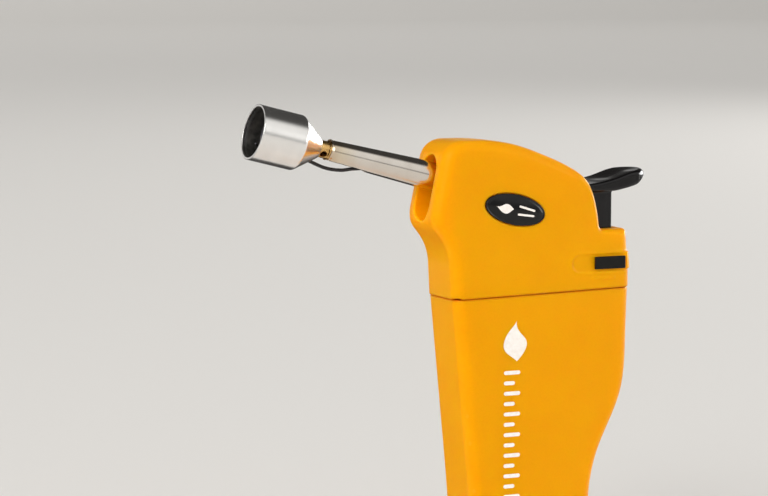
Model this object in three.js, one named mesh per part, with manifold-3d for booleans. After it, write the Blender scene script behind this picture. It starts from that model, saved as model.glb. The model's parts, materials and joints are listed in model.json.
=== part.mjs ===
// Pocket butane torch with a tilting burner, a piezo igniter and a refillable tank.
//
// Millimetres, +Z up. The origin is the centre of the flat base face. The burner points
// towards -X, the trigger stands at +X, and the badge and the flow slider are on the -Y side.
// The object is symmetric about Y = 0 apart from the badge, the slider and the leads.

import * as THREE from "three";
import { mergeVertices } from "three/addons/utils/BufferGeometryUtils.js";
import Module from "manifold-3d";

const wasm = await Module();
wasm.setup();

// ---------------------------------------------------------------- driving dimensions

const BODY = {
  width: 16, // across Y
  edgeRadius: 3, // rounding of the long outer edges
  headWall: 1.6,
  tankWall: 1.8,
  tankFloor: 2.5,
  wallEdgeRadius: 1.3, // rounding of the cavities' long edges
};
const BASE_HALF_LENGTH = 14.9; // the waist narrows to this at the flat base
const SEAM = { z: 73.15, slope: 0.0236, gap: 0.35 }; // plane between tank and head cover

const NOSE = { slotWidth: 7.5, slotLow: 90.5, slotHigh: 105.5, wallEnd: -20.6 };
const COLLAR = { top: 87.5, rear: 24.1 }; // shelf behind the dome that guides the trigger
// Opening behind the dome: narrow for the trigger's stem, wider above it for the paddle.
const REAR_SLOT = {
  front: 11,
  rear: 22.4,
  stemHalfWidth: 4.35,
  stemDepth: 4,
  stemTop: 92,
  paddleHalfWidth: 6.45,
  paddleBottom: 89.5,
  paddleTop: 98.8,
};
const SLIDER_WINDOW = { front: 15.75, rear: 23.1 };

const PIVOT = { x: -12.4, z: 97.9, pitchDeg: 14.3, blockRadius: 4.4, halfWidth: 4.15 };
const TUBE = { start: 5, nose: 13, end: 37.4, rootRadius: 3.25, tipRadius: 2.46, wall: 0.3 };
const TUBE_SLOT = { start: 27, halfWidth: 1.15 };
const CUP = { start: 39.85, shoulder: 45.2, rim: 55.8, hubRadius: 2.4, radius: 6.3, wall: 0.5 };
const AIR_HOLE = { radius: 0.75, turnDeg: 38 }; // turned below the near side
const LEAD_RADIUS = 0.4;
const ELECTRODE = { offset: 3.9, turnDeg: 38, wire: 0.25 }; // below the axis, turned to the far side
const INSULATOR = { start: 41.2, end: 49.6, bore: 0.4, radius: 0.85, holeRadius: 1 };
const PIVOT_PIN_RADIUS = 1.2;
const PIVOT_PIN_INNER = 2.9; // the pins stop short of the gas pipe

const TRIGGER = { front: 11, rear: 22, halfWidth: 4, bottom: 84.4 };
const TRIGGER_TRAVEL = 6;
const PADDLE = { front: 12.5, tip: 31.65, halfWidth: 6.2, tipRadius: 7 };

const PIEZO = { x: 16.6, half: 4.4, bottom: 56, top: 78, cavityHalf: 3.4, cavityFloor: 63 };
const WELL = { clearance: 0.25, wall: 1, bottom: 54.6 };
const LID = { bottom: 70.3, top: 72.3, clearance: 0.15 };

const VALVE = {
  x: 2.5,
  bodyRadius: 3.45,
  bottom: 61,
  top: 75.5,
  chamberRadius: 2.4,
  chamberFloor: 62.5,
  neckRadius: 1.35,
  neckLength: 2,
  inletRadius: 1,
  ringSeat: { radius: 2.75, bottom: 63.9, top: 65.5 },
};
const LEVER = { x: 7.5, z: 85.5, tipX: 9.6, tipZ: 81.4, thickness: 1.3 };
const LEVER_SWING = 1.14; // how far the trigger's ramp pushes the lever's tip
const LEVER_PIN_RADIUS = 0.9;
const FORK = { bottom: 84.1, top: 84.9, front: 1.5, slotRear: 4.2 };

const SLIDER = { front: 15.2, rear: 23.2, bottom: 78.3, top: 81.2, travel: 5 };
const GEAR = { module: 0.6, teeth: 14, bottom: 78.9, top: 80.5 };

const FILL = {
  x: 6.5,
  bossRadius: 4.8,
  bossTop: 8,
  boreRadius: 3.1,
  wellRadius: 3.8,
  wellDepth: 1.2,
};

const FRAME = { floor: 72.6, floorTop: 74.0, inner: 4.75, outer: 6.05, front: -18, legRear: -6.5 };
const SCREW_X = [-15.4, -10.0];

const BADGE = { x: -5.5, z: 92.9, long: 7.7, short: 3.5, tiltDeg: -12.5, proud: 0.6, recess: 0.5 };

const PIN_CLEARANCE = 0.1;
const FINE = 28; // segments of a large round
const ROUND = 20; // segments of a medium round
const SMALL = 12; // segments of a small round
const rad = THREE.MathUtils.degToRad;

// ---------------------------------------------------------------- materials

const material = (color, roughness, metalness) => () =>
  new THREE.MeshStandardMaterial({ color, roughness, metalness });

const yellowPlastic = material(0xf7a400, 0.38, 0);
const blackGloss = material(0x0c0b0c, 0.18, 0);
const blackSatin = material(0x18171a, 0.5, 0);
const naturalNylon = material(0xd9d4c6, 0.55, 0);
const greyAcetal = material(0x8b8d90, 0.5, 0);
const chrome = material(0xd9d5d0, 0.14, 1);
const turnedAluminium = material(0xcfd0d2, 0.32, 1);
const brass = material(0xc79a4e, 0.3, 1);
const steel = material(0xa8a9ab, 0.35, 1);
const ceramic = material(0xeeeae0, 0.45, 0);
const rubber = material(0x1b1b1b, 0.8, 0);
const felt = material(0xded8c8, 0.95, 0);
const clearHose = material(0xd8cfae, 0.35, 0);

// ---------------------------------------------------------------- solids

// Closed geometry to a manifold-3d solid: only positions count, shared vertices merged.
function solid(geometry) {
  const bare = geometry.clone();
  bare.deleteAttribute("normal");
  bare.deleteAttribute("uv");
  const merged = mergeVertices(bare, 1e-4);
  return new wasm.Manifold(
    new wasm.Mesh({
      numProp: 3,
      vertProperties: new Float32Array(merged.attributes.position.array),
      triVerts: new Uint32Array(merged.index.array),
    }),
  );
}

function geometryOf(manifold) {
  const mesh = manifold.getMesh();
  const geometry = new THREE.BufferGeometry();
  geometry.setAttribute("position", new THREE.BufferAttribute(mesh.vertProperties, 3));
  geometry.setIndex(new THREE.BufferAttribute(mesh.triVerts, 1));
  geometry.computeVertexNormals();
  return geometry;
}

const join = (...pieces) => geometryOf(pieces.map(solid).reduce((a, b) => a.add(b)));
const cut = (base, ...tools) =>
  geometryOf(tools.map(solid).reduce((a, b) => a.subtract(b), solid(base)));
const common = (...pieces) => geometryOf(pieces.map(solid).reduce((a, b) => a.intersect(b)));

// Box from its lowest to its highest corner.
function box(x0, x1, y0, y1, z0, z1) {
  const geometry = new THREE.BoxGeometry(x1 - x0, y1 - y0, z1 - z0);
  return geometry.translate((x0 + x1) / 2, (y0 + y1) / 2, (z0 + z1) / 2);
}

// Upright round bar about the Z axis.
function bar(radius, z0, z1, segments = SMALL) {
  const geometry = new THREE.CylinderGeometry(radius, radius, z1 - z0, segments);
  return geometry.rotateX(Math.PI / 2).translate(0, 0, (z0 + z1) / 2);
}

// Round bar along Y, through the point (x, z).
function crossBar(radius, y0, y1, x, z, segments = SMALL) {
  const geometry = new THREE.CylinderGeometry(radius, radius, y1 - y0, segments);
  return geometry.translate(x, (y0 + y1) / 2, z);
}

// Solid of revolution about the Z axis. The profile holds [radius, z] pairs.
function turned(profile, segments = ROUND) {
  const points = profile.map(([r, z]) => new THREE.Vector2(r, z));
  return new THREE.LatheGeometry(points, segments).rotateX(Math.PI / 2);
}

// A hollow turned piece: its profile closes on itself.
const turnedRing = (profile, segments) => turned([...profile, profile[0]], segments);

const ring = (inner, outer, z0, z1, segments = ROUND) =>
  turnedRing([[inner, z0], [outer, z0], [outer, z1], [inner, z1]], segments);

// Extrudes a side view, drawn in X and Z, across the width. The bevel rounds the long edges,
// and inset moves the whole outline inwards.
function sideExtrude(shape, width, { bevel = 0, inset = 0, curveSegments = 3 } = {}) {
  const geometry = new THREE.ExtrudeGeometry(shape, {
    depth: width - 2 * bevel,
    bevelEnabled: bevel > 0,
    bevelThickness: bevel,
    bevelSize: bevel,
    bevelOffset: -bevel - inset,
    bevelSegments: 3,
    curveSegments,
  });
  return geometry.translate(0, 0, bevel - width / 2).rotateX(Math.PI / 2);
}

// Extrudes a plan view, drawn in X and Y, between two heights.
function planExtrude(shape, z0, z1, curveSegments = 4) {
  const options = { depth: z1 - z0, bevelEnabled: false, curveSegments };
  return new THREE.ExtrudeGeometry(shape, options).translate(0, 0, z0);
}

const polygon = (points) => new THREE.Shape(points.map(([x, y]) => new THREE.Vector2(x, y)));

function roundedRectangle(x0, x1, y0, y1, r) {
  const shape = new THREE.Shape();
  shape.absarc(x1 - r, y0 + r, r, -Math.PI / 2, 0);
  shape.absarc(x1 - r, y1 - r, r, 0, Math.PI / 2);
  shape.absarc(x0 + r, y1 - r, r, Math.PI / 2, Math.PI);
  shape.absarc(x0 + r, y0 + r, r, Math.PI, 1.5 * Math.PI);
  return shape;
}

function circle(radius, segments) {
  const turn = (i) => (2 * Math.PI * i) / segments;
  const points = Array.from({ length: segments }, (_, i) => [
    radius * Math.cos(turn(i)),
    radius * Math.sin(turn(i)),
  ]);
  return polygon(points);
}

// Wire or hose of round section along a smooth curve through the points.
function sweptRound(points, radius, steps, segments = 8) {
  const curve = new THREE.CatmullRomCurve3(points.map((p) => new THREE.Vector3(...p)));
  return new THREE.ExtrudeGeometry(circle(radius, segments), { extrudePath: curve, steps });
}

// Coil spring about the Z axis with evenly spaced turns.
class Helix extends THREE.Curve {
  constructor(radius, z0, z1, turns) {
    super();
    Object.assign(this, { radius, z0, z1, turns });
  }
  getPoint(t) {
    const angle = 2 * Math.PI * this.turns * t;
    const z = this.z0 + (this.z1 - this.z0) * t;
    return new THREE.Vector3(this.radius * Math.cos(angle), this.radius * Math.sin(angle), z);
  }
}

function coil(radius, wire, z0, z1, turns) {
  const path = new Helix(radius, z0 + wire, z1 - wire, turns);
  const options = { extrudePath: path, steps: turns * 8 };
  return new THREE.ExtrudeGeometry(circle(wire, 4), options);
}

// Everything above the seam plane moved up by the offset.
function aboveSeam(offset) {
  const half = box(-100, 100, -100, 100, 0, 200);
  return half.rotateY(-Math.atan(SEAM.slope)).translate(0, 0, SEAM.z + offset);
}

// ---------------------------------------------------------------- casings

// Side outline of the head. Its lower end runs past the seam, where the cover is cut off.
function headOutline() {
  const shape = new THREE.Shape();
  const bottom = SEAM.z - 8;
  shape.moveTo(-20.3, bottom);
  shape.lineTo(25.05, bottom);
  shape.lineTo(25.0, 77.5);
  shape.lineTo(25.27, 80.3);
  shape.lineTo(24.75, 82.4);
  shape.lineTo(COLLAR.rear, COLLAR.top);
  shape.lineTo(18.0, COLLAR.top);
  shape.quadraticCurveTo(16.95, COLLAR.top, 16.85, COLLAR.top + 1.1);
  shape.splineThru(
    [[15.95, 93.8], [13.9, 98.7], [10.1, 101.9], [3.6, 104.9], [-4.5, 107.7], [-12, 108.85]].map(
      ([x, z]) => new THREE.Vector2(x, z),
    ),
  );
  shape.lineTo(-17.7, 108.9);
  shape.bezierCurveTo(-20.4, 108.9, -22.6, 107.4, -23.2, 104.8);
  shape.lineTo(-25.6, 93.4);
  shape.bezierCurveTo(-26.0, 91.4, -25.8, 89.6, -24.6, 88.2);
  shape.bezierCurveTo(-22.6, 85.9, -21.5, 84.0, -21.1, 80.8);
  shape.lineTo(-20.5, 74);
  return shape;
}

// Side outline of the tank. It runs past the seam and past the base, where it is cut off.
function tankOutline() {
  const shape = new THREE.Shape();
  const top = SEAM.z + 8;
  const low = -6;
  shape.moveTo(-BASE_HALF_LENGTH, low);
  shape.lineTo(BASE_HALF_LENGTH, low);
  shape.lineTo(BASE_HALF_LENGTH, 8);
  shape.splineThru(
    [[15.1, 25], [17.4, 35.4], [20.6, 42.3], [23.4, 49.1], [24.5, 56.3], [24.8, 66]].map(
      ([x, z]) => new THREE.Vector2(x, z),
    ),
  );
  shape.lineTo(25.15, top);
  shape.lineTo(-21.5, top);
  shape.lineTo(-17.0, 36.8);
  shape.quadraticCurveTo(-15.5, 22, -BASE_HALF_LENGTH, low);
  return shape;
}

const badgeFrame = (geometry) =>
  geometry.rotateY(-rad(BADGE.tiltDeg)).translate(BADGE.x, 0, BADGE.z);

function ovalPlate(growth, y0, y1) {
  const shape = new THREE.Shape();
  shape.absellipse(0, 0, BADGE.long + growth, BADGE.short + growth, 0, 2 * Math.PI);
  const options = { depth: y1 - y0, bevelEnabled: false, curveSegments: ROUND };
  const plate = new THREE.ExtrudeGeometry(shape, options);
  return badgeFrame(plate.rotateX(Math.PI / 2).translate(0, y1, 0));
}

// Stadium-shaped opening in the nose that lets the burner tube tilt.
function noseSlot() {
  const r = NOSE.slotWidth / 2;
  const length = 12;
  const front = NOSE.wallEnd - length + 3;
  const middle = box(front, front + length, -r, r, NOSE.slotLow + r, NOSE.slotHigh - r);
  const end = (z) => bar(r, front, front + length, ROUND).rotateY(Math.PI / 2).translate(0, 0, z);
  return join(middle, end(NOSE.slotLow + r), end(NOSE.slotHigh - r));
}

// Shallow groove that the slider's knob runs in, with a round front end.
function sliderGroove() {
  const depth = 0.3;
  const low = SLIDER.bottom - 0.6;
  const high = SLIDER.top + 0.6;
  const front = SLIDER.front - SLIDER.travel - 0.7;
  const r = (high - low) / 2;
  const floor = -BODY.width / 2 + depth;
  const run = box(front + r, BODY.width * 2, floor - 4, floor, low, high);
  return join(run, crossBar(r, floor - 4, floor, front + r, low + r, ROUND));
}

function headCover() {
  const { width, edgeRadius, headWall, wallEdgeRadius } = BODY;
  const outside = sideExtrude(headOutline(), width, { bevel: edgeRadius });
  const inside = sideExtrude(headOutline(), width - 2 * headWall, {
    bevel: wallEdgeRadius,
    inset: headWall,
  });
  const noseWall = box(-40, NOSE.wallEnd, -10, 10, NOSE.slotLow - 5, 120);
  const window = box(
    SLIDER_WINDOW.front, SLIDER_WINDOW.rear, -10, -5, GEAR.bottom - 0.15, GEAR.top + 0.2,
  );
  const { front, rear, stemHalfWidth: stem, paddleHalfWidth: paddle } = REAR_SLOT;
  const stemBottom = COLLAR.top - REAR_SLOT.stemDepth;
  const stemSlot = box(front, rear, -stem, stem, stemBottom, REAR_SLOT.stemTop);
  const paddleSlot = box(
    front, rear, -paddle, paddle, REAR_SLOT.paddleBottom, REAR_SLOT.paddleTop,
  );
  return cut(
    common(outside, aboveSeam(SEAM.gap / 2)),
    cut(inside, noseWall),
    noseSlot(),
    stemSlot,
    paddleSlot,
    sliderGroove(),
    window,
    ovalPlate(0.15, -BODY.width / 2 - 2, -BODY.width / 2 + BADGE.recess),
  );
}

function tankShell() {
  const { width, edgeRadius, tankWall, wallEdgeRadius, tankFloor } = BODY;
  const outside = sideExtrude(tankOutline(), width, { bevel: edgeRadius });
  const inside = sideExtrude(tankOutline(), width - 2 * tankWall, {
    bevel: wallEdgeRadius,
    inset: tankWall,
  });
  const aboveFloor = box(-100, 100, -100, 100, tankFloor, 200);
  const shell = cut(
    common(outside, box(-100, 100, -100, 100, 0, 200)),
    aboveSeam(-SEAM.gap / 2),
    common(inside, aboveFloor),
  );
  const boss = bar(FILL.bossRadius, 0.5, FILL.bossTop, ROUND).translate(FILL.x, 0, 0);
  const bore = bar(FILL.boreRadius, -1, FILL.bossTop + 1, ROUND).translate(FILL.x, 0, 0);
  const well = bar(FILL.wellRadius, -1, FILL.wellDepth, ROUND).translate(FILL.x, 0, 0);
  return cut(join(shell, boss), bore, well);
}

// Plug that closes the tank, with a socket for the valve and a dry well for the igniter.
function tankLid() {
  const gap = BODY.tankWall + LID.clearance;
  const halfY = BODY.width / 2 - gap;
  const plate = planExtrude(
    roundedRectangle(-20.35 + gap, 25.0 - gap, -halfY, halfY, BODY.wallEdgeRadius),
    LID.bottom, LID.top,
  );
  const half = PIEZO.half + WELL.clearance;
  const outer = half + WELL.wall;
  const wellBox = box(
    PIEZO.x - outer, PIEZO.x + outer, -outer, outer, WELL.bottom, LID.bottom + 0.5,
  );
  const wellRoom = box(
    PIEZO.x - half, PIEZO.x + half, -half, half, WELL.bottom + WELL.wall, LID.top + 1,
  );
  const socket = bar(VALVE.bodyRadius + 1.25, 59, LID.bottom + 0.5, ROUND).translate(VALVE.x, 0, 0);
  const socketRoom = bar(VALVE.bodyRadius + 0.15, 60.3, LID.top + 1, ROUND).translate(VALVE.x, 0, 0);
  const wickHole = bar(1.25, 58, 61).translate(VALVE.x, 0, 0);
  const bosses = SCREW_X.map((x) => bar(2.4, 64.5, LID.bottom + 0.5).translate(x, 0, 0));
  const pilots = SCREW_X.map((x) => bar(1.1, 66, LID.top + 1).translate(x, 0, 0));
  return cut(join(plate, wellBox, socket, ...bosses), wellRoom, socketRoom, wickHole, ...pilots);
}

// ---------------------------------------------------------------- inner frame

function mechanismFrame() {
  const cheekOutline = polygon([
    [FRAME.front, FRAME.floor], [FRAME.legRear, FRAME.floor], [FRAME.legRear, 83],
    [9.8, 83], [9.8, 90], [2, 96], [-6, 102.4], [FRAME.front, 102.4],
  ]);
  const cheeks = sideExtrude(cheekOutline, 2 * FRAME.outer);
  const between = box(-30, 30, -FRAME.inner, FRAME.inner, FRAME.floorTop, 120);
  const bridge = box(-8, FRAME.legRear, -FRAME.outer, FRAME.outer, FRAME.floor, 90);
  const pinHole = (x, z, r) => crossBar(r + PIN_CLEARANCE, -10, 10, x, z);
  const screwHoles = SCREW_X.map((x) => bar(1.2, 70, 76).translate(x, 0, 0));
  return cut(
    join(cut(cheeks, between), bridge),
    pinHole(PIVOT.x, PIVOT.z, PIVOT_PIN_RADIUS),
    pinHole(LEVER.x, LEVER.z, LEVER_PIN_RADIUS),
    ...screwHoles,
  );
}

function frameScrew() {
  const head = FRAME.floorTop + 0.05;
  const shank = bar(0.95, head - 6.5, head + 0.3);
  const cap = bar(1.8, head, head + 1.3);
  const across = box(-0.2, 0.2, -2, 2, head + 0.9, head + 2);
  const along = box(-2, 2, -0.2, 0.2, head + 0.9, head + 2);
  return cut(join(shank, cap), join(across, along));
}

function pivotPin(side) {
  const ends = side > 0 ? [PIVOT_PIN_INNER, FRAME.outer] : [-FRAME.outer, -PIVOT_PIN_INNER];
  return crossBar(PIVOT_PIN_RADIUS, ...ends, 0, 0);
}

const pivotWasher = (side) =>
  ring(1.35, 2.6, 0, 0.3).rotateX(Math.PI / 2).translate(0, side * 4.45 + 0.15, 0);

// ---------------------------------------------------------------- trigger and igniter

// Side view of the thumb paddle: a ski that leaves the dome level and lifts towards its tip.
function paddleOutline() {
  const shape = new THREE.Shape();
  const v = (x, z) => new THREE.Vector2(x, z);
  shape.moveTo(PADDLE.front, 96.1);
  shape.lineTo(21.5, 96.1);
  shape.splineThru([v(24.5, 96.7), v(27.5, 97.5), v(30.2, 98.0), v(31.3, 98.6)]);
  shape.splineThru([v(PADDLE.tip, 99.4), v(31.1, 100.4), v(29.5, 101.0)]);
  shape.splineThru([v(26.4, 100.5), v(23, 99.4), v(19, 98.45), v(PADDLE.front, 97.8)]);
  return shape;
}

// Plan view of the paddle: parallel sides and a tip that is an arc.
function paddlePlan() {
  const { front, tip, halfWidth, tipRadius } = PADDLE;
  const centre = tip - tipRadius;
  const turn = Math.asin(halfWidth / tipRadius);
  const shape = new THREE.Shape();
  shape.moveTo(front, -halfWidth);
  shape.absarc(centre, 0, tipRadius, -turn, turn);
  shape.lineTo(front, halfWidth);
  return shape;
}

function trigger() {
  const { front, rear, halfWidth, bottom } = TRIGGER;
  const stem = box(front, rear, -halfWidth, halfWidth, bottom, 96.6);
  const skirt = box(15, rear, -4.75, 4.75, bottom, bottom + 1.2);
  const paddle = common(
    sideExtrude(paddleOutline(), 2 * PADDLE.halfWidth + 1),
    planExtrude(paddlePlan(), 90, 105),
  );
  // The ramp leans forwards as it rises, so pressing the trigger pushes the lever's tip.
  const contact = LEVER.tipX + LEVER.thickness / 2 + 0.45;
  const lean = LEVER_SWING / TRIGGER_TRAVEL;
  const low = 80.4;
  const high = 89;
  const rampX = (z) => contact - (z - LEVER.tipZ) * lean;
  const ramp = polygon([
    [rampX(low), low], [11.7, low], [11.7, high], [rampX(high), high],
  ]);
  return join(stem, skirt, paddle, sideExtrude(ramp, 3));
}

function piezoHousing() {
  const { half, bottom, top, cavityHalf, cavityFloor } = PIEZO;
  return cut(
    planExtrude(roundedRectangle(-half, half, -half, half, 0.6), bottom, top, 2),
    box(-cavityHalf, cavityHalf, -cavityHalf, cavityHalf, cavityFloor, top + 1),
    bar(2.6, bottom + 1, cavityFloor + 1),
  );
}

function piezoPlunger() {
  const half = PIEZO.cavityHalf - 0.3;
  const bottom = PIEZO.cavityFloor + TRIGGER_TRAVEL + 0.5;
  return cut(
    box(-half, half, -half, half, bottom, TRIGGER.bottom - 0.2),
    box(-2.1, 2.1, -2.1, 2.1, bottom - 1, 80),
  );
}

const piezoContact = () => box(-0.4, 0.3, -0.7, 0.7, 74.5, 77.6);

// ---------------------------------------------------------------- gas valve and lever

function valveBody() {
  const { bodyRadius, bottom, top, chamberRadius, chamberFloor, ringSeat } = VALVE;
  const { neckRadius, inletRadius } = VALVE;
  const chamberTop = top - VALVE.neckLength;
  return turnedRing([
    [inletRadius, bottom], [bodyRadius, bottom], [bodyRadius, ringSeat.bottom],
    [ringSeat.radius, ringSeat.bottom], [ringSeat.radius, ringSeat.top],
    [bodyRadius, ringSeat.top], [bodyRadius, top], [neckRadius, top], [neckRadius, chamberTop],
    [chamberRadius, chamberTop], [chamberRadius, chamberFloor], [inletRadius, chamberFloor],
  ]);
}

const valveStem = () =>
  turnedRing([
    [0.3, 64.0], [2.1, 64.0], [2.1, 65.0], [1.2, 65.0], [1.2, 83.4], [0.9, 83.6], [0.9, 85.2],
    [2.0, 85.2], [2.0, 86.0], [0.6, 86.0], [0.6, 89.0], [0.3, 89.0],
  ], SMALL);

// Cross-section of a toothed wheel. Each tooth narrows from root to tip.
function gearOutline() {
  const { module, teeth } = GEAR;
  const pitchRadius = (module * teeth) / 2;
  const pitch = (2 * Math.PI) / teeth;
  const points = [];
  for (let i = 0; i < teeth; i++) {
    const middle = -Math.PI / 2 + i * pitch;
    for (const [r, side] of toothSteps(pitchRadius)) {
      const angle = middle + side * pitch;
      points.push([r * Math.cos(angle), r * Math.sin(angle)]);
    }
  }
  return polygon(points);
}

// Radius and share of a pitch from the tooth's middle, across one tooth.
const toothSteps = (pitchRadius) => [
  [pitchRadius - GEAR.module, -0.3],
  [pitchRadius + 0.85 * GEAR.module, -0.1],
  [pitchRadius + 0.85 * GEAR.module, 0.1],
  [pitchRadius - GEAR.module, 0.3],
];

function flowGear() {
  const teeth = planExtrude(gearOutline(), GEAR.bottom, GEAR.top);
  const hub = bar(3.0, VALVE.top + 0.3, GEAR.bottom + 0.5, ROUND);
  return cut(join(teeth, hub), bar(1.55, 70, 90));
}

// Knob outside the cover, a stem through its window and a rack that turns the flow gear.
function flowSlider() {
  const { front, rear, bottom, top } = SLIDER;
  const pitchLine = (GEAR.module * GEAR.teeth) / 2;
  const pitch = Math.PI * GEAR.module;
  const root = -pitchLine - GEAR.module;
  const tip = -pitchLine + 0.85 * GEAR.module;
  const outer = -6.05;
  const rack = [[22.8, outer], [22.8, root]];
  for (let k = 3; k >= -1; k--) {
    const middle = VALVE.x + (k + 0.5) * pitch;
    rack.push([middle + 0.3 * pitch, root], [middle + 0.1 * pitch, tip]);
    rack.push([middle - 0.1 * pitch, tip], [middle - 0.3 * pitch, root]);
  }
  rack.push([VALVE.x - 1.2 * pitch, root], [VALVE.x - 1.2 * pitch, outer]);
  const arm = planExtrude(polygon(rack), GEAR.bottom + 0.1, GEAR.top - 0.1);
  const stem = box(21.0, 22.8, -8.2, -5.5, GEAR.bottom + 0.1, GEAR.top - 0.1);
  const knob = box(front, rear, -8.65, -7.9, bottom, top);
  return join(arm, stem, knob);
}

// Bell crank: its fork lifts the valve stem when the trigger's ramp pushes its tip forwards.
function gasLever() {
  const boss = crossBar(1.6, -3.4, 3.4, 0, 0);
  const plate = box(FORK.front - LEVER.x, 0, -2.6, 2.6, FORK.bottom - LEVER.z, FORK.top - LEVER.z);
  const reach = new THREE.Vector2(LEVER.tipX - LEVER.x, LEVER.tipZ - LEVER.z);
  const arm = box(-LEVER.thickness / 2, LEVER.thickness / 2, -1.3, 1.3, -reach.length(), 0);
  arm.rotateY(-Math.atan2(reach.x, -reach.y));
  const tip = crossBar(LEVER.thickness / 2, -1.3, 1.3, reach.x, reach.y);
  const slotRear = FORK.slotRear - LEVER.x;
  const slot = box(-10, slotRear, -1.15, 1.15, -3, 1.2);
  return cut(join(boss, plate, arm, tip), slot, crossBar(LEVER_PIN_RADIUS + 0.15, -9, 9, 0, 0));
}

function gasHose() {
  const path = [
    [VALVE.x, 0, 87.9], [VALVE.x, 0, 89.6], [VALVE.x, 0, 91.4], [0.3, 0, 95.2],
    [-3.4, 0, 97.5], [-7.3, 0, 97.9],
  ];
  return cut(sweptRound(path, 1.35, 14, 10), sweptRound(extended(path, 0.6), 0.85, 16, 8));
}

// The same path with its two ends moved outwards, so that a bore cuts clean through.
function extended(path, by) {
  const points = path.map((p) => new THREE.Vector3(...p));
  const push = (end, next) => end.clone().add(end.clone().sub(next).setLength(by));
  const first = push(points[0], points[1]);
  const last = push(points.at(-1), points.at(-2));
  return [first.toArray(), ...path, last.toArray()];
}

const piezoLead = () =>
  sweptRound(
    [
      [10.75, 3.3, 76.2], [8.2, 4.9, 76.6], [4, 5.4, 77], [-0.5, 5.3, 77.8], [-3.9, 3.4, 81],
      [-4.9, 1.4, 87], [-5.7, 0.2, 92.5], [-7.2, 0, 95.3],
    ],
    LEAD_RADIUS, 22, 6,
  );

// ---------------------------------------------------------------- fill valve in the base

const fillValveBody = () =>
  turnedRing([
    [0.95, 1.3], [3.0, 1.3], [3.0, 10.8], [1.9, 10.8], [1.9, 5.0], [0.95, 5.0],
  ]);

const fillValveStem = () =>
  turned([
    [0, 1.7], [0.75, 1.7], [0.75, 5.5], [1.6, 5.5], [1.6, 6.2], [0.75, 6.2], [0.75, 9.2], [0, 9.2],
  ], SMALL);

// ---------------------------------------------------------------- burner, along its own axis

// Turns a piece made about +Z so that it runs along the burner, towards -X.
const forward = (geometry) => geometry.rotateY(-Math.PI / 2);
const burnerTurned = (profile, segments) =>
  forward(turnedRing(profile.map(([s, r]) => [r, s]), segments));

// Where the electrode stands: beside the burner's axis, below it and turned to the far side.
const beside = (geometry) =>
  geometry.translate(0, 0, -ELECTRODE.offset).rotateX(rad(ELECTRODE.turnDeg));

function barrelPivot() {
  const body = crossBar(PIVOT.blockRadius, -PIVOT.halfWidth, PIVOT.halfWidth, 0, 0, ROUND);
  const spigot = forward(bar(2.75, 3, 9, ROUND));
  const pipeBore = forward(bar(0.95, -6, 10));
  const leadBore = box(-10, 6, -0.65, 0.65, -2.4, 0);
  const pinHole = (y0, y1) => crossBar(PIVOT_PIN_RADIUS + PIN_CLEARANCE, y0, y1, 0, 0);
  return cut(join(body, spigot), pipeBore, leadBore, pinHole(2.6, 6), pinHole(-6, -2.6));
}

function barrelTube() {
  const { start, nose, end, rootRadius, tipRadius, wall } = TUBE;
  const shell = burnerTurned([
    [start, rootRadius - wall], [start, rootRadius], [nose, rootRadius], [end, tipRadius],
    [end, tipRadius - wall], [nose, rootRadius - wall],
  ], FINE);
  const w = TUBE_SLOT.halfWidth;
  const run = box(-end - 1, -TUBE_SLOT.start - w, -w, w, -6, 0);
  const roundEnd = bar(w, -6, 0).translate(-TUBE_SLOT.start - w, 0, 0);
  return cut(shell, join(run, roundEnd));
}

const gasPipe = () => forward(ring(0.4, 0.8, -4, 33.4, SMALL));

const gasJet = () =>
  burnerTurned([
    [32.4, 0.95], [32.4, 1.45], [35.6, 1.45], [36.6, 0.8], [36.6, 0.15], [33.7, 0.15], [33.7, 0.95],
  ], SMALL);

// Brass mixing tube: holds the jet, draws air in through its cross hole and feeds the nozzle.
function venturiBody() {
  const profile = [
    [31.6, 1.6], [31.6, 2.0], [37.7, 2.0], [37.7, 2.1], [CUP.start - 0.05, 2.1],
    [CUP.start - 0.05, 1.6], [44.6, 1.6], [44.6, 1.15], [37.2, 1.15], [37.2, 1.6],
  ];
  const airHole = crossBar(AIR_HOLE.radius, -4, 4, -(TUBE.end + CUP.start) / 2 - 0.05, 0);
  return cut(burnerTurned(profile), airHole.rotateX(rad(AIR_HOLE.turnDeg)));
}

function flameGuard() {
  const { start, shoulder, rim, hubRadius, radius, wall } = CUP;
  const shell = burnerTurned([
    [start, 1.75], [start, hubRadius], [shoulder, radius], [rim, radius], [rim, radius - wall],
    [shoulder + 0.25, radius - wall], [start + 1.55, 2.75], [start + 1.2, 1.75],
  ], FINE);
  return cut(shell, beside(forward(bar(INSULATOR.holeRadius, start - 1, shoulder - 0.7))));
}

const burnerNozzle = () =>
  burnerTurned([
    [41.4, 1.75], [41.4, 2.3], [45, 2.3], [46.2, 2.9], [52.8, 2.9], [52.8, 2.2], [46.4, 2.2],
    [45.3, 1.75],
  ]);

function flameHolder() {
  const disc = forward(bar(2.05, 49.6, 50.8, ROUND));
  const centre = forward(bar(0.7, 49, 51, 12));
  const port = forward(bar(0.22, 49, 51, 6)).translate(0, 0, 1.35);
  const ports = [0, 1, 2, 3, 4, 5].map((i) => port.clone().rotateX((i * Math.PI) / 3));
  return cut(disc, centre, ...ports);
}

const electrodeInsulator = () =>
  beside(forward(ring(INSULATOR.bore, INSULATOR.radius, INSULATOR.start, INSULATOR.end, SMALL)));

const electrode = () =>
  beside(
    sweptRound(
      [[-41.3, 0, 0], [-46, 0, 0], [-50.6, 0, 0], [-52.6, 0, 0.15], [-53.8, 0, 1.1]],
      ELECTRODE.wire, 10, 6,
    ),
  );

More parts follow.
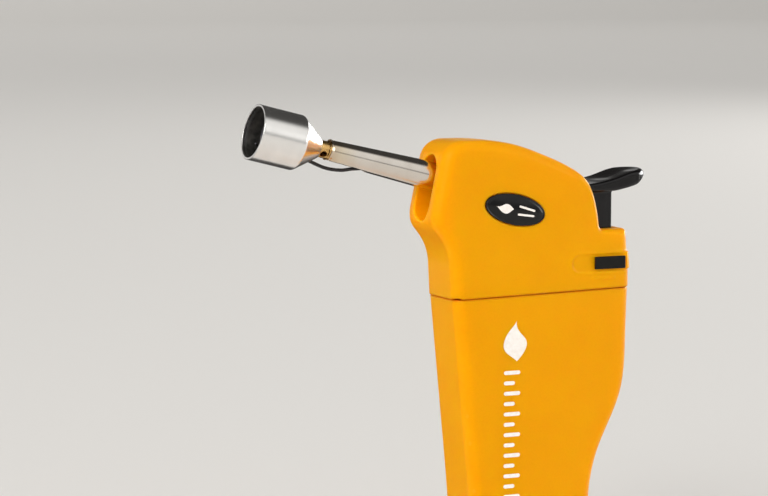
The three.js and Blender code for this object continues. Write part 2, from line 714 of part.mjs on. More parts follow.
// Leaves the tube through its slot, sags below it and meets the electrode behind the cup.
const burnerLead = () =>
  sweptRound(
    [
      [4, 0, -1.7], [-10, 0, -1.75], [-25, 0, -1.7], [-30, 0, -2.6], [-33, 0.3, -3.6],
      [-36.5, 1.4, -3.9], [-40.9, 2.4, -3.07],
    ],
    LEAD_RADIUS, 26, 8,
  );

// ---------------------------------------------------------------- assembly

function part(name, geometry, finish, [x, y, z] = [0, 0, 0]) {
  const mesh = new THREE.Mesh(geometry, finish());
  mesh.name = name;
  mesh.position.set(x, y, z);
  return mesh;
}

function casings() {
  return [
    part("head_cover", headCover(), yellowPlastic),
    part("tank_shell", tankShell(), yellowPlastic),
    part("tank_lid", tankLid(), naturalNylon),
    part(
      "badge",
      ovalPlate(0, -BODY.width / 2 - BADGE.proud, -BODY.width / 2 + BADGE.recess - 0.1),
      blackGloss,
    ),
  ];
}

function innerFrame() {
  const pivot = [PIVOT.x, 0, PIVOT.z];
  return [
    part("mechanism_frame", mechanismFrame(), greyAcetal),
    part("frame_screw_front", frameScrew(), steel, [SCREW_X[0], 0, 0]),
    part("frame_screw_rear", frameScrew(), steel, [SCREW_X[1], 0, 0]),
    part("pivot_pin_left", pivotPin(-1), steel, pivot),
    part("pivot_pin_right", pivotPin(1), steel, pivot),
    part("pivot_washer_left", pivotWasher(-1), steel, pivot),
    part("pivot_washer_right", pivotWasher(1), steel, pivot),
    part("lever_pin", crossBar(LEVER_PIN_RADIUS, -6, 6, 0, 0), steel, [LEVER.x, 0, LEVER.z]),
  ];
}

function igniter() {
  const centre = [PIEZO.x, 0, 0];
  const terminal = [PIEZO.x - PIEZO.half - 0.45, 3.3, 0];
  return [
    part("trigger", trigger(), blackGloss),
    part("piezo_housing", piezoHousing(), blackSatin, centre),
    part("piezo_plunger", piezoPlunger(), greyAcetal, centre),
    part("piezo_spring", coil(1.7, 0.25, 63.5, 79.8, 8), steel, centre),
    part("piezo_hammer", bar(1.1, 65.6, 73.4), steel, centre),
    part("piezo_anvil", bar(2.4, 62.6, 63.25, ROUND), steel, centre),
    part("piezo_crystal", bar(2.3, 57.3, 62.4, ROUND), ceramic, centre),
    part("piezo_contact", piezoContact(), brass, terminal),
    part("piezo_lead", piezoLead(), rubber),
  ];
}

function gasSystem() {
  const axis = [VALVE.x, 0, 0];
  const wick = bar(1.1, 12, 60.6);
  const oRing = new THREE.TorusGeometry(3.16, 0.33, 8, ROUND).translate(0, 0, 64.7);
  return [
    part("valve_body", valveBody(), brass, axis),
    part("valve_stem", valveStem(), brass, axis),
    part("valve_seal", bar(1.9, 62.75, 63.85, ROUND), rubber, axis),
    part("valve_spring", coil(1.75, 0.22, 65.15, 73.35, 5), steel, axis),
    part("valve_o_ring", oRing, rubber, axis),
    part("flow_gear", flowGear(), blackSatin, axis),
    part("flow_slider", flowSlider(), blackSatin),
    part("gas_lever", gasLever(), steel, [LEVER.x, 0, LEVER.z]),
    part("gas_hose", gasHose(), clearHose),
    part("fuel_wick", wick, felt, axis),
  ];
}

function fillValve() {
  const axis = [FILL.x, 0, 0];
  return [
    part("fill_valve_body", fillValveBody(), brass, axis),
    part("fill_valve_stem", fillValveStem(), brass, axis),
    part("fill_valve_seal", ring(0.9, 1.6, 5.1, 5.4, SMALL), rubber, axis),
    part("fill_valve_spring", coil(1.25, 0.18, 6.3, 9.9, 4), steel, axis),
    part("fill_valve_retainer", ring(0.95, 1.8, 10.0, 10.7, SMALL), brass, axis),
  ];
}

function burner() {
  const group = new THREE.Group();
  group.position.set(PIVOT.x, 0, PIVOT.z);
  group.rotation.y = rad(PIVOT.pitchDeg);
  group.add(
    part("barrel_pivot", barrelPivot(), blackSatin),
    part("barrel_tube", barrelTube(), chrome),
    part("gas_pipe", gasPipe(), brass),
    part("gas_jet", gasJet(), brass),
    part("venturi_body", venturiBody(), brass),
    part("flame_guard", flameGuard(), turnedAluminium),
    part("burner_nozzle", burnerNozzle(), steel),
    part("flame_holder", flameHolder(), steel),
    part("electrode_insulator", electrodeInsulator(), ceramic),
    part("electrode", electrode(), steel),
    part("burner_lead", burnerLead(), rubber),
  );
  return group;
}

const torch = new THREE.Group();
torch.add(...casings(), ...innerFrame(), ...igniter(), ...gasSystem(), ...fillValve(), burner());

export default torch;
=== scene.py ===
"""Looks of a pocket butane torch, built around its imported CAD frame.

Shapes are worked out in millimetres, in the part's own frame, and become metres when a mesh is made.
A moulded or machined piece is a distance field, negative inside, that a surface net turns into a mesh.
"""

import json
import math

import bpy
import numpy as np
from mathutils import Matrix, Vector

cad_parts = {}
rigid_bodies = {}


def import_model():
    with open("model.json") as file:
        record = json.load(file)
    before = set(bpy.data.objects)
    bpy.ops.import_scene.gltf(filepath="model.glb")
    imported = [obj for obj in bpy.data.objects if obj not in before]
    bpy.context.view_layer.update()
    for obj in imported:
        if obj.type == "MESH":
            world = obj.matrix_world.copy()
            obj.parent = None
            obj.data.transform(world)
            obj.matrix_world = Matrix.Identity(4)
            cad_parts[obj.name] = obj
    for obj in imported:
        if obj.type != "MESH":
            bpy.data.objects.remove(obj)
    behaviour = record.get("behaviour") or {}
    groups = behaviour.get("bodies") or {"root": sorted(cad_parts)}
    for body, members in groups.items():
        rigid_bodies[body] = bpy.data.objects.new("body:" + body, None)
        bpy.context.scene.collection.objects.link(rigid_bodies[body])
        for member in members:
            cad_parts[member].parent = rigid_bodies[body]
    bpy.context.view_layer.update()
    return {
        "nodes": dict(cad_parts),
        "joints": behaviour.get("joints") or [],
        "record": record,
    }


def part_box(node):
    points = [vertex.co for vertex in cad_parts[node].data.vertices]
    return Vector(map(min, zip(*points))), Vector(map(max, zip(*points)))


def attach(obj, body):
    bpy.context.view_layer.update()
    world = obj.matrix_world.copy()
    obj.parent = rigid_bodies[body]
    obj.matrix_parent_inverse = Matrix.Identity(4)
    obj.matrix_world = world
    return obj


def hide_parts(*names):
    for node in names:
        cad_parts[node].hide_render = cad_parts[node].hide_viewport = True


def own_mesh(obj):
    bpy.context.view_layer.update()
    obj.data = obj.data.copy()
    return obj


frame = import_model()

MM = 0.001
COARSE = 1.0
JOINTS = {joint["name"]: joint for joint in frame["joints"]}


# ---------------------------------------------------------------- reading the frame

def corners(node):
    """Lowest and highest corner of a CAD node at rest, in mm."""
    low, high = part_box(node)
    return np.array(low) / MM, np.array(high) / MM


def centre(node):
    low, high = corners(node)
    return (low + high) / 2


def reach(node, axes):
    """Start, end and greatest radius of a CAD node along the first axis of a local frame, in mm."""
    local = axes.inverted()
    points = np.array([local @ (v.co / MM) for v in frame["nodes"][node].data.vertices])
    radius = np.hypot(points[:, 1], points[:, 2]).max()
    return points[:, 0].min(), points[:, 0].max(), radius


def axes_at(origin, along, across=(0, 1, 0)):
    """Local frame whose first axis points along, and whose second lies as close as it can to across."""
    first = Vector(along).normalized()
    third = first.cross(Vector(across)).normalized()
    second = third.cross(first)
    matrix = Matrix((first, second, third)).transposed().to_4x4()
    return Matrix.Translation(Vector(origin)) @ matrix


PIVOT = np.array(JOINTS["barrel_tilt"]["pos_m"]) / MM
BARREL = axes_at(PIVOT, centre("gas_pipe") - PIVOT)  # s along the burner, y across, third axis down
SEAM_SLOPE = 0.0236
SEAM_Z = corners("head_cover")[0][2] + 20.5 * SEAM_SLOPE - 0.175


# ---------------------------------------------------------------- distance fields

def soft_max(a, b, r):
    """Where both solids overlap, with the new edge rounded to radius r."""
    corner = np.hypot(np.maximum(a + r, 0), np.maximum(b + r, 0))
    return np.minimum(-r, np.maximum(a, b)) + corner


def soft_min(a, b, r):
    """Both solids joined, with a fillet of radius r."""
    return -soft_max(-a, -b, r)


def carve(solid, tool, r=0.1):
    return soft_max(solid, -tool, r)


def smooth_step(value, start, end):
    t = np.clip((value - start) / (end - start), 0, 1)
    return t * t * (3 - 2 * t)


def window(value, start, end, soft):
    """1 between start and end, easing to 0 over the soft distance outside them."""
    return smooth_step(value, start - soft, start) * (1 - smooth_step(value, end, end + soft))


def block(p, low, high, r=0.0):
    """Box between two corners, with rounded edges."""
    q = [np.abs(v - (a + b) / 2) - ((b - a) / 2 - r) for v, a, b in zip(p, low, high)]
    outside = np.sqrt(sum(np.maximum(v, 0) ** 2 for v in q))
    inside = np.minimum(np.maximum(np.maximum(q[0], q[1]), q[2]), 0)
    return outside + inside - r


def rectangle(u, v, half_u, half_v, r=0.0):
    qu = np.abs(u) - (half_u - r)
    qv = np.abs(v) - (half_v - r)
    return np.minimum(np.maximum(qu, qv), 0) + np.hypot(np.maximum(qu, 0), np.maximum(qv, 0)) - r


def stadium(u, v, half_length, radius):
    """Slot shape whose long way runs along u, between two round ends."""
    run = np.maximum(np.abs(u) - (half_length - radius), 0)
    return np.hypot(run, v) - radius


def ellipse(u, v, half_u, half_v):
    k0 = np.hypot(u / half_u, v / half_v) + 1e-6
    k1 = np.hypot(u / half_u**2, v / half_v**2) + 1e-6
    return k0 * (k0 - 1) / k1


def between(value, low, high):
    return np.maximum(low - value, value - high)


def capped(across, along, start, end, r):
    """A long shape given by its distance across, cut to a length, with rounded end edges."""
    return soft_max(across, between(along, start, end), r)


def pipe(s, radius, inner, outer, start, end, r=0.05):
    """Hollow or solid round bar. radius is the distance from its axis."""
    wall = radius - outer if inner <= 0 else between(radius, inner, outer)
    return capped(wall, s, start, end, r)


# ---------------------------------------------------------------- outlines

def line(a, b, count=12):
    t = np.linspace(0, 1, count, endpoint=False)[:, None]
    return (1 - t) * np.array(a, float) + t * np.array(b, float)


def bezier(a, b, c, d, count=32):
    t = np.linspace(0, 1, count, endpoint=False)[:, None]
    a, b, c, d = (np.array(p, float) for p in (a, b, c, d))
    return (1 - t) ** 3 * a + 3 * (1 - t) ** 2 * t * b + 3 * (1 - t) * t**2 * c + t**3 * d


def spline(points, start, end, count=12):
    """Smooth curve through the points that leaves and arrives in the given directions."""
    p = np.array(points, float)
    gap = np.linalg.norm(np.diff(p, axis=0), axis=1)
    n = len(p)
    system = np.eye(n)
    right = np.zeros((n, 2))
    right[0] = np.array(start) / np.linalg.norm(start)
    right[-1] = np.array(end) / np.linalg.norm(end)
    for i in range(1, n - 1):
        a, b = gap[i - 1], gap[i]
        system[i, i - 1 : i + 2] = b, 2 * (a + b), a
        right[i] = 3 * (b * (p[i] - p[i - 1]) / a + a * (p[i + 1] - p[i]) / b)
    slope = np.linalg.solve(system, right)
    t = np.linspace(0, 1, count, endpoint=False)[:, None]
    h = [2 * t**3 - 3 * t**2 + 1, t**3 - 2 * t**2 + t, 3 * t**2 - 2 * t**3, t**3 - t**2]
    runs = [
        h[0] * p[i] + h[1] * gap[i] * slope[i] + h[2] * p[i + 1] + h[3] * gap[i] * slope[i + 1]
        for i in range(n - 1)
    ]
    return np.vstack(runs)


class Outline:
    """Signed distance to a closed outline, negative inside, kept on a fine grid."""

    def __init__(self, points, step=0.2, margin=5.0, blur=0.25):
        self.step = step
        self.low = points.min(0) - margin
        count = np.ceil((points.max(0) + margin - self.low) / step).astype(int) + 1
        u = (self.low[0] + step * np.arange(count[0]))[:, None]
        v = (self.low[1] + step * np.arange(count[1]))[None, :]
        nearest = np.full(tuple(count), np.inf)
        inside = np.zeros(tuple(count), bool)
        for a, b in zip(points, np.roll(points, -1, axis=0)):
            d = b - a
            t = np.clip(((u - a[0]) * d[0] + (v - a[1]) * d[1]) / (d @ d + 1e-12), 0, 1)
            away = (u - a[0] - t * d[0]) ** 2 + (v - a[1] - t * d[1]) ** 2
            nearest = np.minimum(nearest, away)
            if a[1] != b[1]:
                crossing = a[0] + (v - a[1]) * d[0] / d[1]
                inside ^= ((a[1] > v) != (b[1] > v)) & (u < crossing)
        self.values = self.blurred(np.sqrt(nearest) * np.where(inside, -1, 1), blur / step)

    @staticmethod
    def blurred(values, sigma):
        """Evens out small kinks where two curves of the outline meet."""
        cells = int(3 * sigma) + 1
        weights = np.exp(-0.5 * (np.arange(-cells, cells + 1) / sigma) ** 2)
        weights /= weights.sum()
        for axis in (0, 1):
            values = np.apply_along_axis(
                lambda run: np.convolve(np.pad(run, cells, "edge"), weights, "valid"), axis, values,
            )
        return values

    def __call__(self, u, v):
        cells, shares = [], []
        for axis, value in enumerate((u, v)):
            at = (np.asarray(value, float) - self.low[axis]) / self.step
            cell = np.clip(np.floor(at).astype(int), 1, self.values.shape[axis] - 3)
            t = np.clip(at - cell, 0, 1)
            cells.append(cell)
            shares.append((
                -0.5 * t + t**2 - 0.5 * t**3,
                1 - 2.5 * t**2 + 1.5 * t**3,
                0.5 * t + 2 * t**2 - 1.5 * t**3,
                -0.5 * t**2 + 0.5 * t**3,
            ))
        total = 0
        for i in range(4):
            row = sum(
                shares[1][k] * self.values[cells[0] + i - 1, cells[1] + k - 1] for k in range(4)
            )
            total = total + shares[0][i] * row
        return total


# ---------------------------------------------------------------- meshes

EDGES = [(a, a | bit) for bit in (1, 2, 4) for a in range(8) if not a & bit]
OFFSETS = np.array([[(c >> k) & 1 for k in range(3)] for c in range(8)])


def surface_net(field, low, high, step):
    """Points and four-sided faces of the field's zero surface, one point for each cell it crosses."""
    axes = [np.arange(a - 2 * step, b + 3 * step, step) for a, b in zip(low, high)]
    shape = tuple(len(a) for a in axes)
    grid = [a.reshape([-1 if i == k else 1 for i in range(3)]) for k, a in enumerate(axes)]
    values = np.broadcast_to(field(*grid), shape).astype(np.float32)
    solid = values < 0
    cell_shape = tuple(n - 1 for n in shape)
    filled = np.zeros(cell_shape, np.uint8)
    for offset in OFFSETS:
        filled += solid[tuple(slice(o, o + n) for o, n in zip(offset, cell_shape))]
    cells = np.argwhere((filled > 0) & (filled < 8))
    index = np.full(cell_shape, -1, np.int64)
    index[tuple(cells.T)] = np.arange(len(cells))

    at_corner = np.stack([values[tuple((cells + o).T)] for o in OFFSETS], axis=1)
    total = np.zeros((len(cells), 3))
    crossings = np.zeros(len(cells))
    for a, b in EDGES:
        va, vb = at_corner[:, a], at_corner[:, b]
        crossed = (va < 0) != (vb < 0)
        t = np.where(crossed, va / np.where(crossed, va - vb, 1), 0)[:, None]
        total += np.where(crossed[:, None], OFFSETS[a] + t * (OFFSETS[b] - OFFSETS[a]), 0)
        crossings += crossed
    origin = np.array([a[0] for a in axes])
    points = origin + step * (cells + total / crossings[:, None])

    faces = []
    for axis in range(3):
        one, two = [k for k in range(3) if k != axis]
        ahead = [slice(None)] * 3
        behind = [slice(None)] * 3
        ahead[axis], behind[axis] = slice(1, None), slice(None, -1)
        start, end = solid[tuple(behind)], solid[tuple(ahead)]
        inner = [slice(None)] * 3
        inner[one] = inner[two] = slice(1, -1)
        changed = np.argwhere((start != end)[tuple(inner)])
        changed[:, one] += 1
        changed[:, two] += 1
        leaving = start[tuple(changed.T)]
        around = []
        for du, dv in ((0, 0), (1, 0), (1, 1), (0, 1)):
            cell = changed.copy()
            cell[:, one] -= du
            cell[:, two] -= dv
            around.append(index[tuple(cell.T)])
        quad = np.stack(around, axis=1)
        flip = leaving if axis == 1 else ~leaving
        quad[flip] = quad[flip][:, ::-1]
        faces.append(quad)
    return points, np.vstack(faces).tolist()


def gradient(field, points, reach_mm):
    slopes = []
    for axis in range(3):
        shift = np.zeros(3)
        shift[axis] = reach_mm
        slopes.append(field(*(points + shift).T) - field(*(points - shift).T))
    return np.stack(slopes, axis=1) / (2 * reach_mm)


def settled(field, points, step):
    """Points moved onto the zero surface, and the surface's direction at each."""
    for _ in range(2):
        slope = gradient(field, points, 0.1 * step)
        size = np.maximum((slope**2).sum(1), 0.25)
        move = np.clip(field(*points.T) / size, -0.5 * step, 0.5 * step)
        points = points - move[:, None] * slope
    slope = gradient(field, points, 0.1 * step)
    return points, slope / np.maximum(np.linalg.norm(slope, axis=1), 1e-9)[:, None]


def placed(points, axes):
    matrix = np.array(axes)
    return points @ matrix[:3, :3].T + matrix[:3, 3]


def mesh_object(name, points, faces, material, normals=None):
    """Blender object from points in mm. Normals, when given, are one for each point."""
    mesh = bpy.data.meshes.new(name)
    mesh.from_pydata((points * MM).tolist(), [], faces)
    mesh.update()
    mesh.shade_smooth()
    if normals is not None:
        mesh.normals_split_custom_set_from_vertices(normals.tolist())
    mesh.materials.append(material)
    obj = bpy.data.objects.new(name, mesh)
    bpy.context.scene.collection.objects.link(obj)
    return obj


def moulded(name, field, low, high, step, material, axes=Matrix.Identity(4)):
    """Piece made from a distance field, given in the coordinates of the local frame."""
    step = step * COARSE
    points, faces = surface_net(field, low, high, step)
    points, normals = settled(field, points, step)
    turn = np.array(axes)[:3, :3]
    return mesh_object(name, placed(points, axes), faces, material, normals @ turn.T)


def cast(name, node, body, slot, field, step, spare=0.3):
    """Moulded piece that stands for a CAD node and fills its box, grown by the spare distance."""
    low, high = corners(node)
    obj = moulded(name, field, low - spare, high + spare, step, FINISHES[slot])
    return piece(obj, body, slot, node)


def sweep(name, path, radius, material, sides=16, axes=Matrix.Identity(4)):
    """Round wire along a path, with domed ends."""
    path = np.array(path, float)
    tangent = np.gradient(path, axis=0)
    tangent /= np.linalg.norm(tangent, axis=1)[:, None]
    dome = [(0.6 * np.sin(a), max(np.cos(a), 0.02)) for a in np.linspace(np.pi / 2, 0, 5)[:-1]]
    rings = [(path[0] - tangent[0] * radius * out, tangent[0], size) for out, size in dome]
    rings += [(point, direction, 1) for point, direction in zip(path, tangent)]
    rings += [(path[-1] + tangent[-1] * radius * out, tangent[-1], size) for out, size in dome[::-1]]
    side = np.cross(tangent[0], (0.3, 1.0, 0.2))
    angle = 2 * np.pi * np.arange(sides)[:, None] / sides
    points = []
    for point, direction, size in rings:
        side = side - direction * (side @ direction)
        side /= np.linalg.norm(side)
        circle = side * np.cos(angle) + np.cross(direction, side) * np.sin(angle)
        points.append(point + circle * radius * size)
    faces = ring_faces(len(rings), sides)
    faces.append(list(range(sides))[::-1])
    faces.append([(len(rings) - 1) * sides + k for k in range(sides)])
    return mesh_object(name, placed(np.vstack(points), axes), faces, material)


def ring_faces(rows, columns):
    return [
        [i * columns + k, i * columns + (k + 1) % columns,
         (i + 1) * columns + (k + 1) % columns, (i + 1) * columns + k]
        for i in range(rows - 1)
        for k in range(columns)
    ]


def smooth_path(points, count=12):
    """Curve through points in three dimensions, evenly eased between them."""
    p = np.array(points, float)
    p = np.vstack([2 * p[0] - p[1], p, 2 * p[-1] - p[-2]])
    t = np.linspace(0, 1, count, endpoint=False)[:, None]
    runs = [
        0.5 * (2 * b + (c - a) * t + (2 * a - 5 * b + 4 * c - d) * t**2 + (3 * b - a - 3 * c + d) * t**3)
        for a, b, c, d in zip(p, p[1:], p[2:], p[3:])
    ]
    return np.vstack(runs + [p[-2][None, :]])


def piece(obj, body, slot, *nodes):
    """Rides on a body and stands for CAD nodes. Its slot argument is not used."""
    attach(obj, body)
    if nodes:
        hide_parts(*nodes)
    return obj


# ---------------------------------------------------------------- materials

def linear(hex_colour):
    channels = [int(hex_colour[i : i + 2], 16) / 255 for i in (1, 3, 5)]
    return [c / 12.92 if c <= 0.04045 else ((c + 0.055) / 1.055) ** 2.4 for c in channels] + [1.0]


class Tree:
    """Short calls that add nodes to a node tree. A value is a number, a colour or a socket."""

    def __init__(self, tree):
        self.tree = tree

    def plug(self, node, key, value):
        if isinstance(value, bpy.types.NodeSocket):
            self.tree.links.new(value, node.inputs[key])
        else:
            node.inputs[key].default_value = value

    def add(self, kind, links=None, **settings):
        node = self.tree.nodes.new(kind)
        for key, value in settings.items():
            setattr(node, key, value)
        for key, value in (links or {}).items():
            self.plug(node, key, value)
        return node

    def scale(self, value, low, high, start=0.0, end=1.0):
        return self.add("ShaderNodeMapRange", {
            "Value": value, "From Min": start, "From Max": end, "To Min": low, "To Max": high,
        }).outputs[0]

    def mix(self, share, a, b):
        return self.add("ShaderNodeMix", {0: share, 6: a, 7: b}, data_type="RGBA").outputs[2]

    def maths(self, operation, a, b=0.0):
        return self.add("ShaderNodeMath", {0: a, 1: b}, operation=operation).outputs[0]

    def vector(self, operation, a, b=(0, 0, 0), result=0):
        return self.add("ShaderNodeVectorMath", {0: a, 1: b}, operation=operation).outputs[result]

    def dot(self, a, b):
        return self.vector("DOT_PRODUCT", a, b, "Value")

    def ramp(self, value, *stops):
        """Colours at rising positions along a value."""
        node = self.add("ShaderNodeValToRGB", {"Fac": value})
        elements = node.color_ramp.elements
        (elements[0].position, elements[0].color), (elements[-1].position, elements[-1].color) = (
            stops[0], stops[-1],
        )
        for position, colour in stops[1:-1]:
            elements.new(position).color = colour
        return node.outputs["Color"]


class Nodes(Tree):
    """Node material with a Principled shader."""

    def __init__(self, name, **inputs):
        self.material = bpy.data.materials.new(name)
        self.material.use_nodes = True
        super().__init__(self.material.node_tree)
        self.shader = self.tree.nodes["Principled BSDF"]
        self.coordinates = self.add("ShaderNodeTexCoord")
        self.place = self.coordinates.outputs["Object"]
        for key, value in inputs.items():
            self.set(key.replace("_", " "), value)

    def set(self, key, value):
        self.plug(self.shader, key, value)

    def noise(self, size_mm, detail=3.0, stretch=(1, 1, 1), roughness=0.5):
        """Noise with features of about size_mm, longer along the axes with a small stretch."""
        mapping = self.add("ShaderNodeMapping", {"Vector": self.place, "Scale": stretch})
        return self.add("ShaderNodeTexNoise", {
            "Vector": mapping.outputs[0], "Scale": 1 / (size_mm * MM), "Detail": detail,
            "Roughness": roughness,
        }).outputs["Fac"]

    def blend(self, value, *stops):
        """Colours, given as hex text, at rising positions along a value."""
        return self.ramp(value, *((position, linear(colour)) for position, colour in stops))

    def clouded(self, size_mm, dark, light, detail=4):
        """Two colours in soft clouds."""
        return self.blend(self.noise(size_mm, detail), (0.3, dark), (0.7, light))

    def bump(self, *layers):
        """Height layers, each a value and a depth in mm."""
        normal = None
        for height, depth in layers:
            links = {"Height": height, "Distance": depth * MM, "Strength": 1.0}
            if normal is not None:
                links["Normal"] = normal
            normal = self.add("ShaderNodeBump", links).outputs[0]
        self.set("Normal", normal)

    def shifted(self, origin):
        return self.vector("ADD", self.place, [-c * MM for c in origin])

    def along(self, axis, origin=(0, 0, 0)):
        """Distance along an axis, in mm."""
        return self.maths("MULTIPLY", self.dot(self.shifted(origin), axis), 1 / MM)

    def facing_axis(self, axis, origin):
        """Towards -1 where the surface faces an axis, and 1 where it faces away from it."""
        shifted = self.shifted(origin)
        on_axis = self.vector("PROJECT", shifted, axis)
        radial = self.vector("NORMALIZE", self.vector("SUBTRACT", shifted, on_axis))
        return self.dot(self.coordinates.outputs["Normal"], radial)

    def edge_wear_and_highlight(self, amount):
        """Rises towards 1 on convex edges, where the colour is painted lighter: faint wear and a painted
        edge highlight.
        """
        sharp = self.add("ShaderNodeNewGeometry").outputs["Pointiness"]
        return self.scale(sharp, 0.0, amount, 0.52, 0.62)


def yellow_plastic():
    m = Nodes("yellow_plastic", IOR=1.49, Specular_IOR_Level=0.28, Specular_Tint=(1.0, 0.72, 0.2, 1.0))
    base = m.clouded(14, "#F39C00", "#F7A100", 2)
    speck = m.blend(m.noise(0.5, 2), (0.42, "#E59300"), (0.5, "#F7A100"))
    colour = m.mix(0.10, base, speck)
    # Painted shade: the base colour deepens to a darker orange within half a millimetre of the seam
    # between head and tank.
    from_seam = m.maths("ABSOLUTE", m.maths("SUBTRACT", m.along((-SEAM_SLOPE, 0, 1)), SEAM_Z))
    colour = m.mix(m.scale(from_seam, 0.9, 0.0, 0.2, 0.5), colour, linear("#D67400"))
    # Convex edges are painted a lighter peach: faint wear along with a painted edge highlight.
    m.set("Base Color", m.mix(m.edge_wear_and_highlight(0.3), colour, linear("#FBAE30")))
    m.set("Roughness", m.scale(m.noise(6, 4), 0.3, 0.38, 0.3, 0.7))
    m.set("Subsurface Weight", 0.6)
    m.set("Subsurface Radius", (4.8 * MM, 2.2 * MM, 0.2 * MM))
    m.set("Subsurface Scale", 1.0)
    # Painted light: an orange emission brightens the walls seen through the nose slot, standing in for
    # light shining through the shell.
    m.set("Emission Color", linear("#F79400"))
    m.set("Emission Strength", m.maths("MULTIPLY", painted_slot_glow(m), 0.13))
    m.bump((m.noise(9, 1), 0.02), (m.noise(0.22, 2), 0.0035))
    return m.material


def painted_slot_glow(m):
    """1 on the walls seen through the nose slot, which get a painted glow standing in for the light
    shining through the shell.
    """
    slot_half, cavity_half, wall_end, slot_middle, slot_reach = 4.0, 6.8, -20.5, 98.0, 7.9
    side = m.maths("ABSOLUTE", m.along((0, 1, 0)))
    slot_wall = m.scale(side, 1, 0, slot_half - 0.1, slot_half + 0.1)
    cavity = m.scale(side, 1, 0, cavity_half - 0.1, cavity_half + 0.1)
    inside = m.scale(m.along((1, 0, 0)), 0, 1, wall_end - 0.5, wall_end + 0.5)
    height = m.maths("ABSOLUTE", m.maths("SUBTRACT", m.along((0, 0, 1)), slot_middle))
    level = m.scale(height, 1, 0, slot_reach - 0.3, slot_reach + 0.3)
    glow = m.maths("MAXIMUM", slot_wall, m.maths("MULTIPLY", cavity, inside))
    return m.maths("MULTIPLY", glow, level)


def black_gloss():
    m = Nodes("black_gloss", IOR=1.5, Specular_IOR_Level=0.35)
    m.set("Base Color", m.blend(m.noise(5, 3), (0.35, "#080707"), (0.7, "#110E0F")))
    m.set("Roughness", m.scale(m.noise(2.5, 5, (1, 1, 0.3)), 0.09, 0.2, 0.35, 0.7))
    m.bump((m.noise(4, 1), 0.01), (m.noise(0.3, 3), 0.0008))
    return m.material


def badge_gloss():
    m = Nodes("badge_gloss", IOR=1.52, Specular_IOR_Level=0.28)
    m.set("Base Color", m.blend(m.noise(3, 2), (0.35, "#0B0B0B"), (0.7, "#131313")))
    m.set("Roughness", m.scale(m.noise(2, 4), 0.06, 0.14, 0.3, 0.7))
    m.bump((m.noise(1.2, 2), 0.0015))
    return m.material


def moulding(name, colour, rough, bump, inputs, spread=(0.3, 0.7)):
    """Plain material with clouded colour and roughness, and a fine grain."""
    m = Nodes(name, **inputs)
    size, detail, dark, light = colour
    m.set("Base Color", m.blend(m.noise(size, detail), (spread[0], dark), (spread[1], light)))
    size, detail, low, high = rough
    m.set("Roughness", m.scale(m.noise(size, detail), low, high, 0.3, 0.7))
    size, detail, depth = bump
    m.bump((m.noise(size, detail), depth))
    return m.material


# Colour: noise size in mm, detail, darker and lighter colour. Roughness: noise size, detail, low and
# high. Bump: noise size, detail and depth in mm. Then the shader's inputs.
MOULDINGS = {
    "black_satin": (
        (1.5, 3, "#090807", "#13100E"), (0.8, 4, 0.42, 0.6), (0.16, 3, 0.006),
        {"IOR": 1.48, "Specular IOR Level": 0.18}, (0.3, 0.75),
    ),
    "natural_nylon": (
        (6, 3, "#CFC9B8", "#E2DCCD"), (1.5, 4, 0.45, 0.62), (0.25, 3, 0.004),
        {"IOR": 1.53, "Subsurface Weight": 0.2,
         "Subsurface Radius": (0.8 * MM, 0.7 * MM, 0.5 * MM)},
    ),
    "grey_acetal": (
        (4, 3, "#7F8184", "#95979A"), (1.2, 4, 0.4, 0.58), (0.2, 3, 0.004), {"IOR": 1.48},
    ),
    "ceramic": (
        (1.2, 4, "#CFC8B8", "#ECE8DD"), (0.6, 4, 0.35, 0.6), (0.15, 3, 0.004),
        {"IOR": 1.6, "Subsurface Weight": 0.1}, (0.35, 0.6),
    ),
    "seal_rubber": (
        (0.8, 4, "#121212", "#232323"), (0.5, 4, 0.6, 0.82), (0.12, 3, 0.006), {"IOR": 1.5},
    ),
    "lead_insulation": (
        (1.1, 4, "#151313", "#241F1E"), (0.7, 4, 0.22, 0.4), (0.3, 3, 0.004), {"IOR": 1.47},
    ),
    "hose": (
        (2, 3, "#CDBF96", "#DDD3B4"), (1, 4, 0.25, 0.4), (0.6, 3, 0.003),
        {"IOR": 1.45, "Transmission Weight": 0.35, "Subsurface Weight": 0.25},
    ),
    "print_ink": (
        (0.7, 4, "#EFE6DC", "#F8F3EC"), (0.4, 3, 0.42, 0.55), (0.15, 2, 0.002), {"IOR": 1.45},
    ),
}


def metal(name, rough, grain_mm, depth):
    """Metal with a fine grain in its roughness and height. Its colour is set afterwards."""
    m = Nodes(name, Metallic=1.0)
    m.set("Roughness", m.scale(m.noise(grain_mm, 5), *rough, 0.3, 0.7))
    m.bump((m.noise(grain_mm * 0.6, 4), depth))
    return m


BARREL_AXIS = tuple(BARREL.to_3x3() @ Vector((1, 0, 0)))


def chrome_tube():
    """Polished plate, tinted by heat near the guard."""
    m = metal("chrome_tube", (0.1, 0.17), 1.2, 0.0004)
    end = reach("barrel_tube", BARREL)[1]
    heat = m.scale(m.along(BARREL_AXIS, PIVOT), 0, 1, end - 7, end + 1)
    warm = m.blend(heat, (0.0, "#DAD2C8"), (0.55, "#D8C7A6"), (1.0, "#B9925C"))
    m.set("Base Color", m.mix(0.6, m.clouded(4, "#CFC7BD", "#E4DED6"), warm))
    return m.material


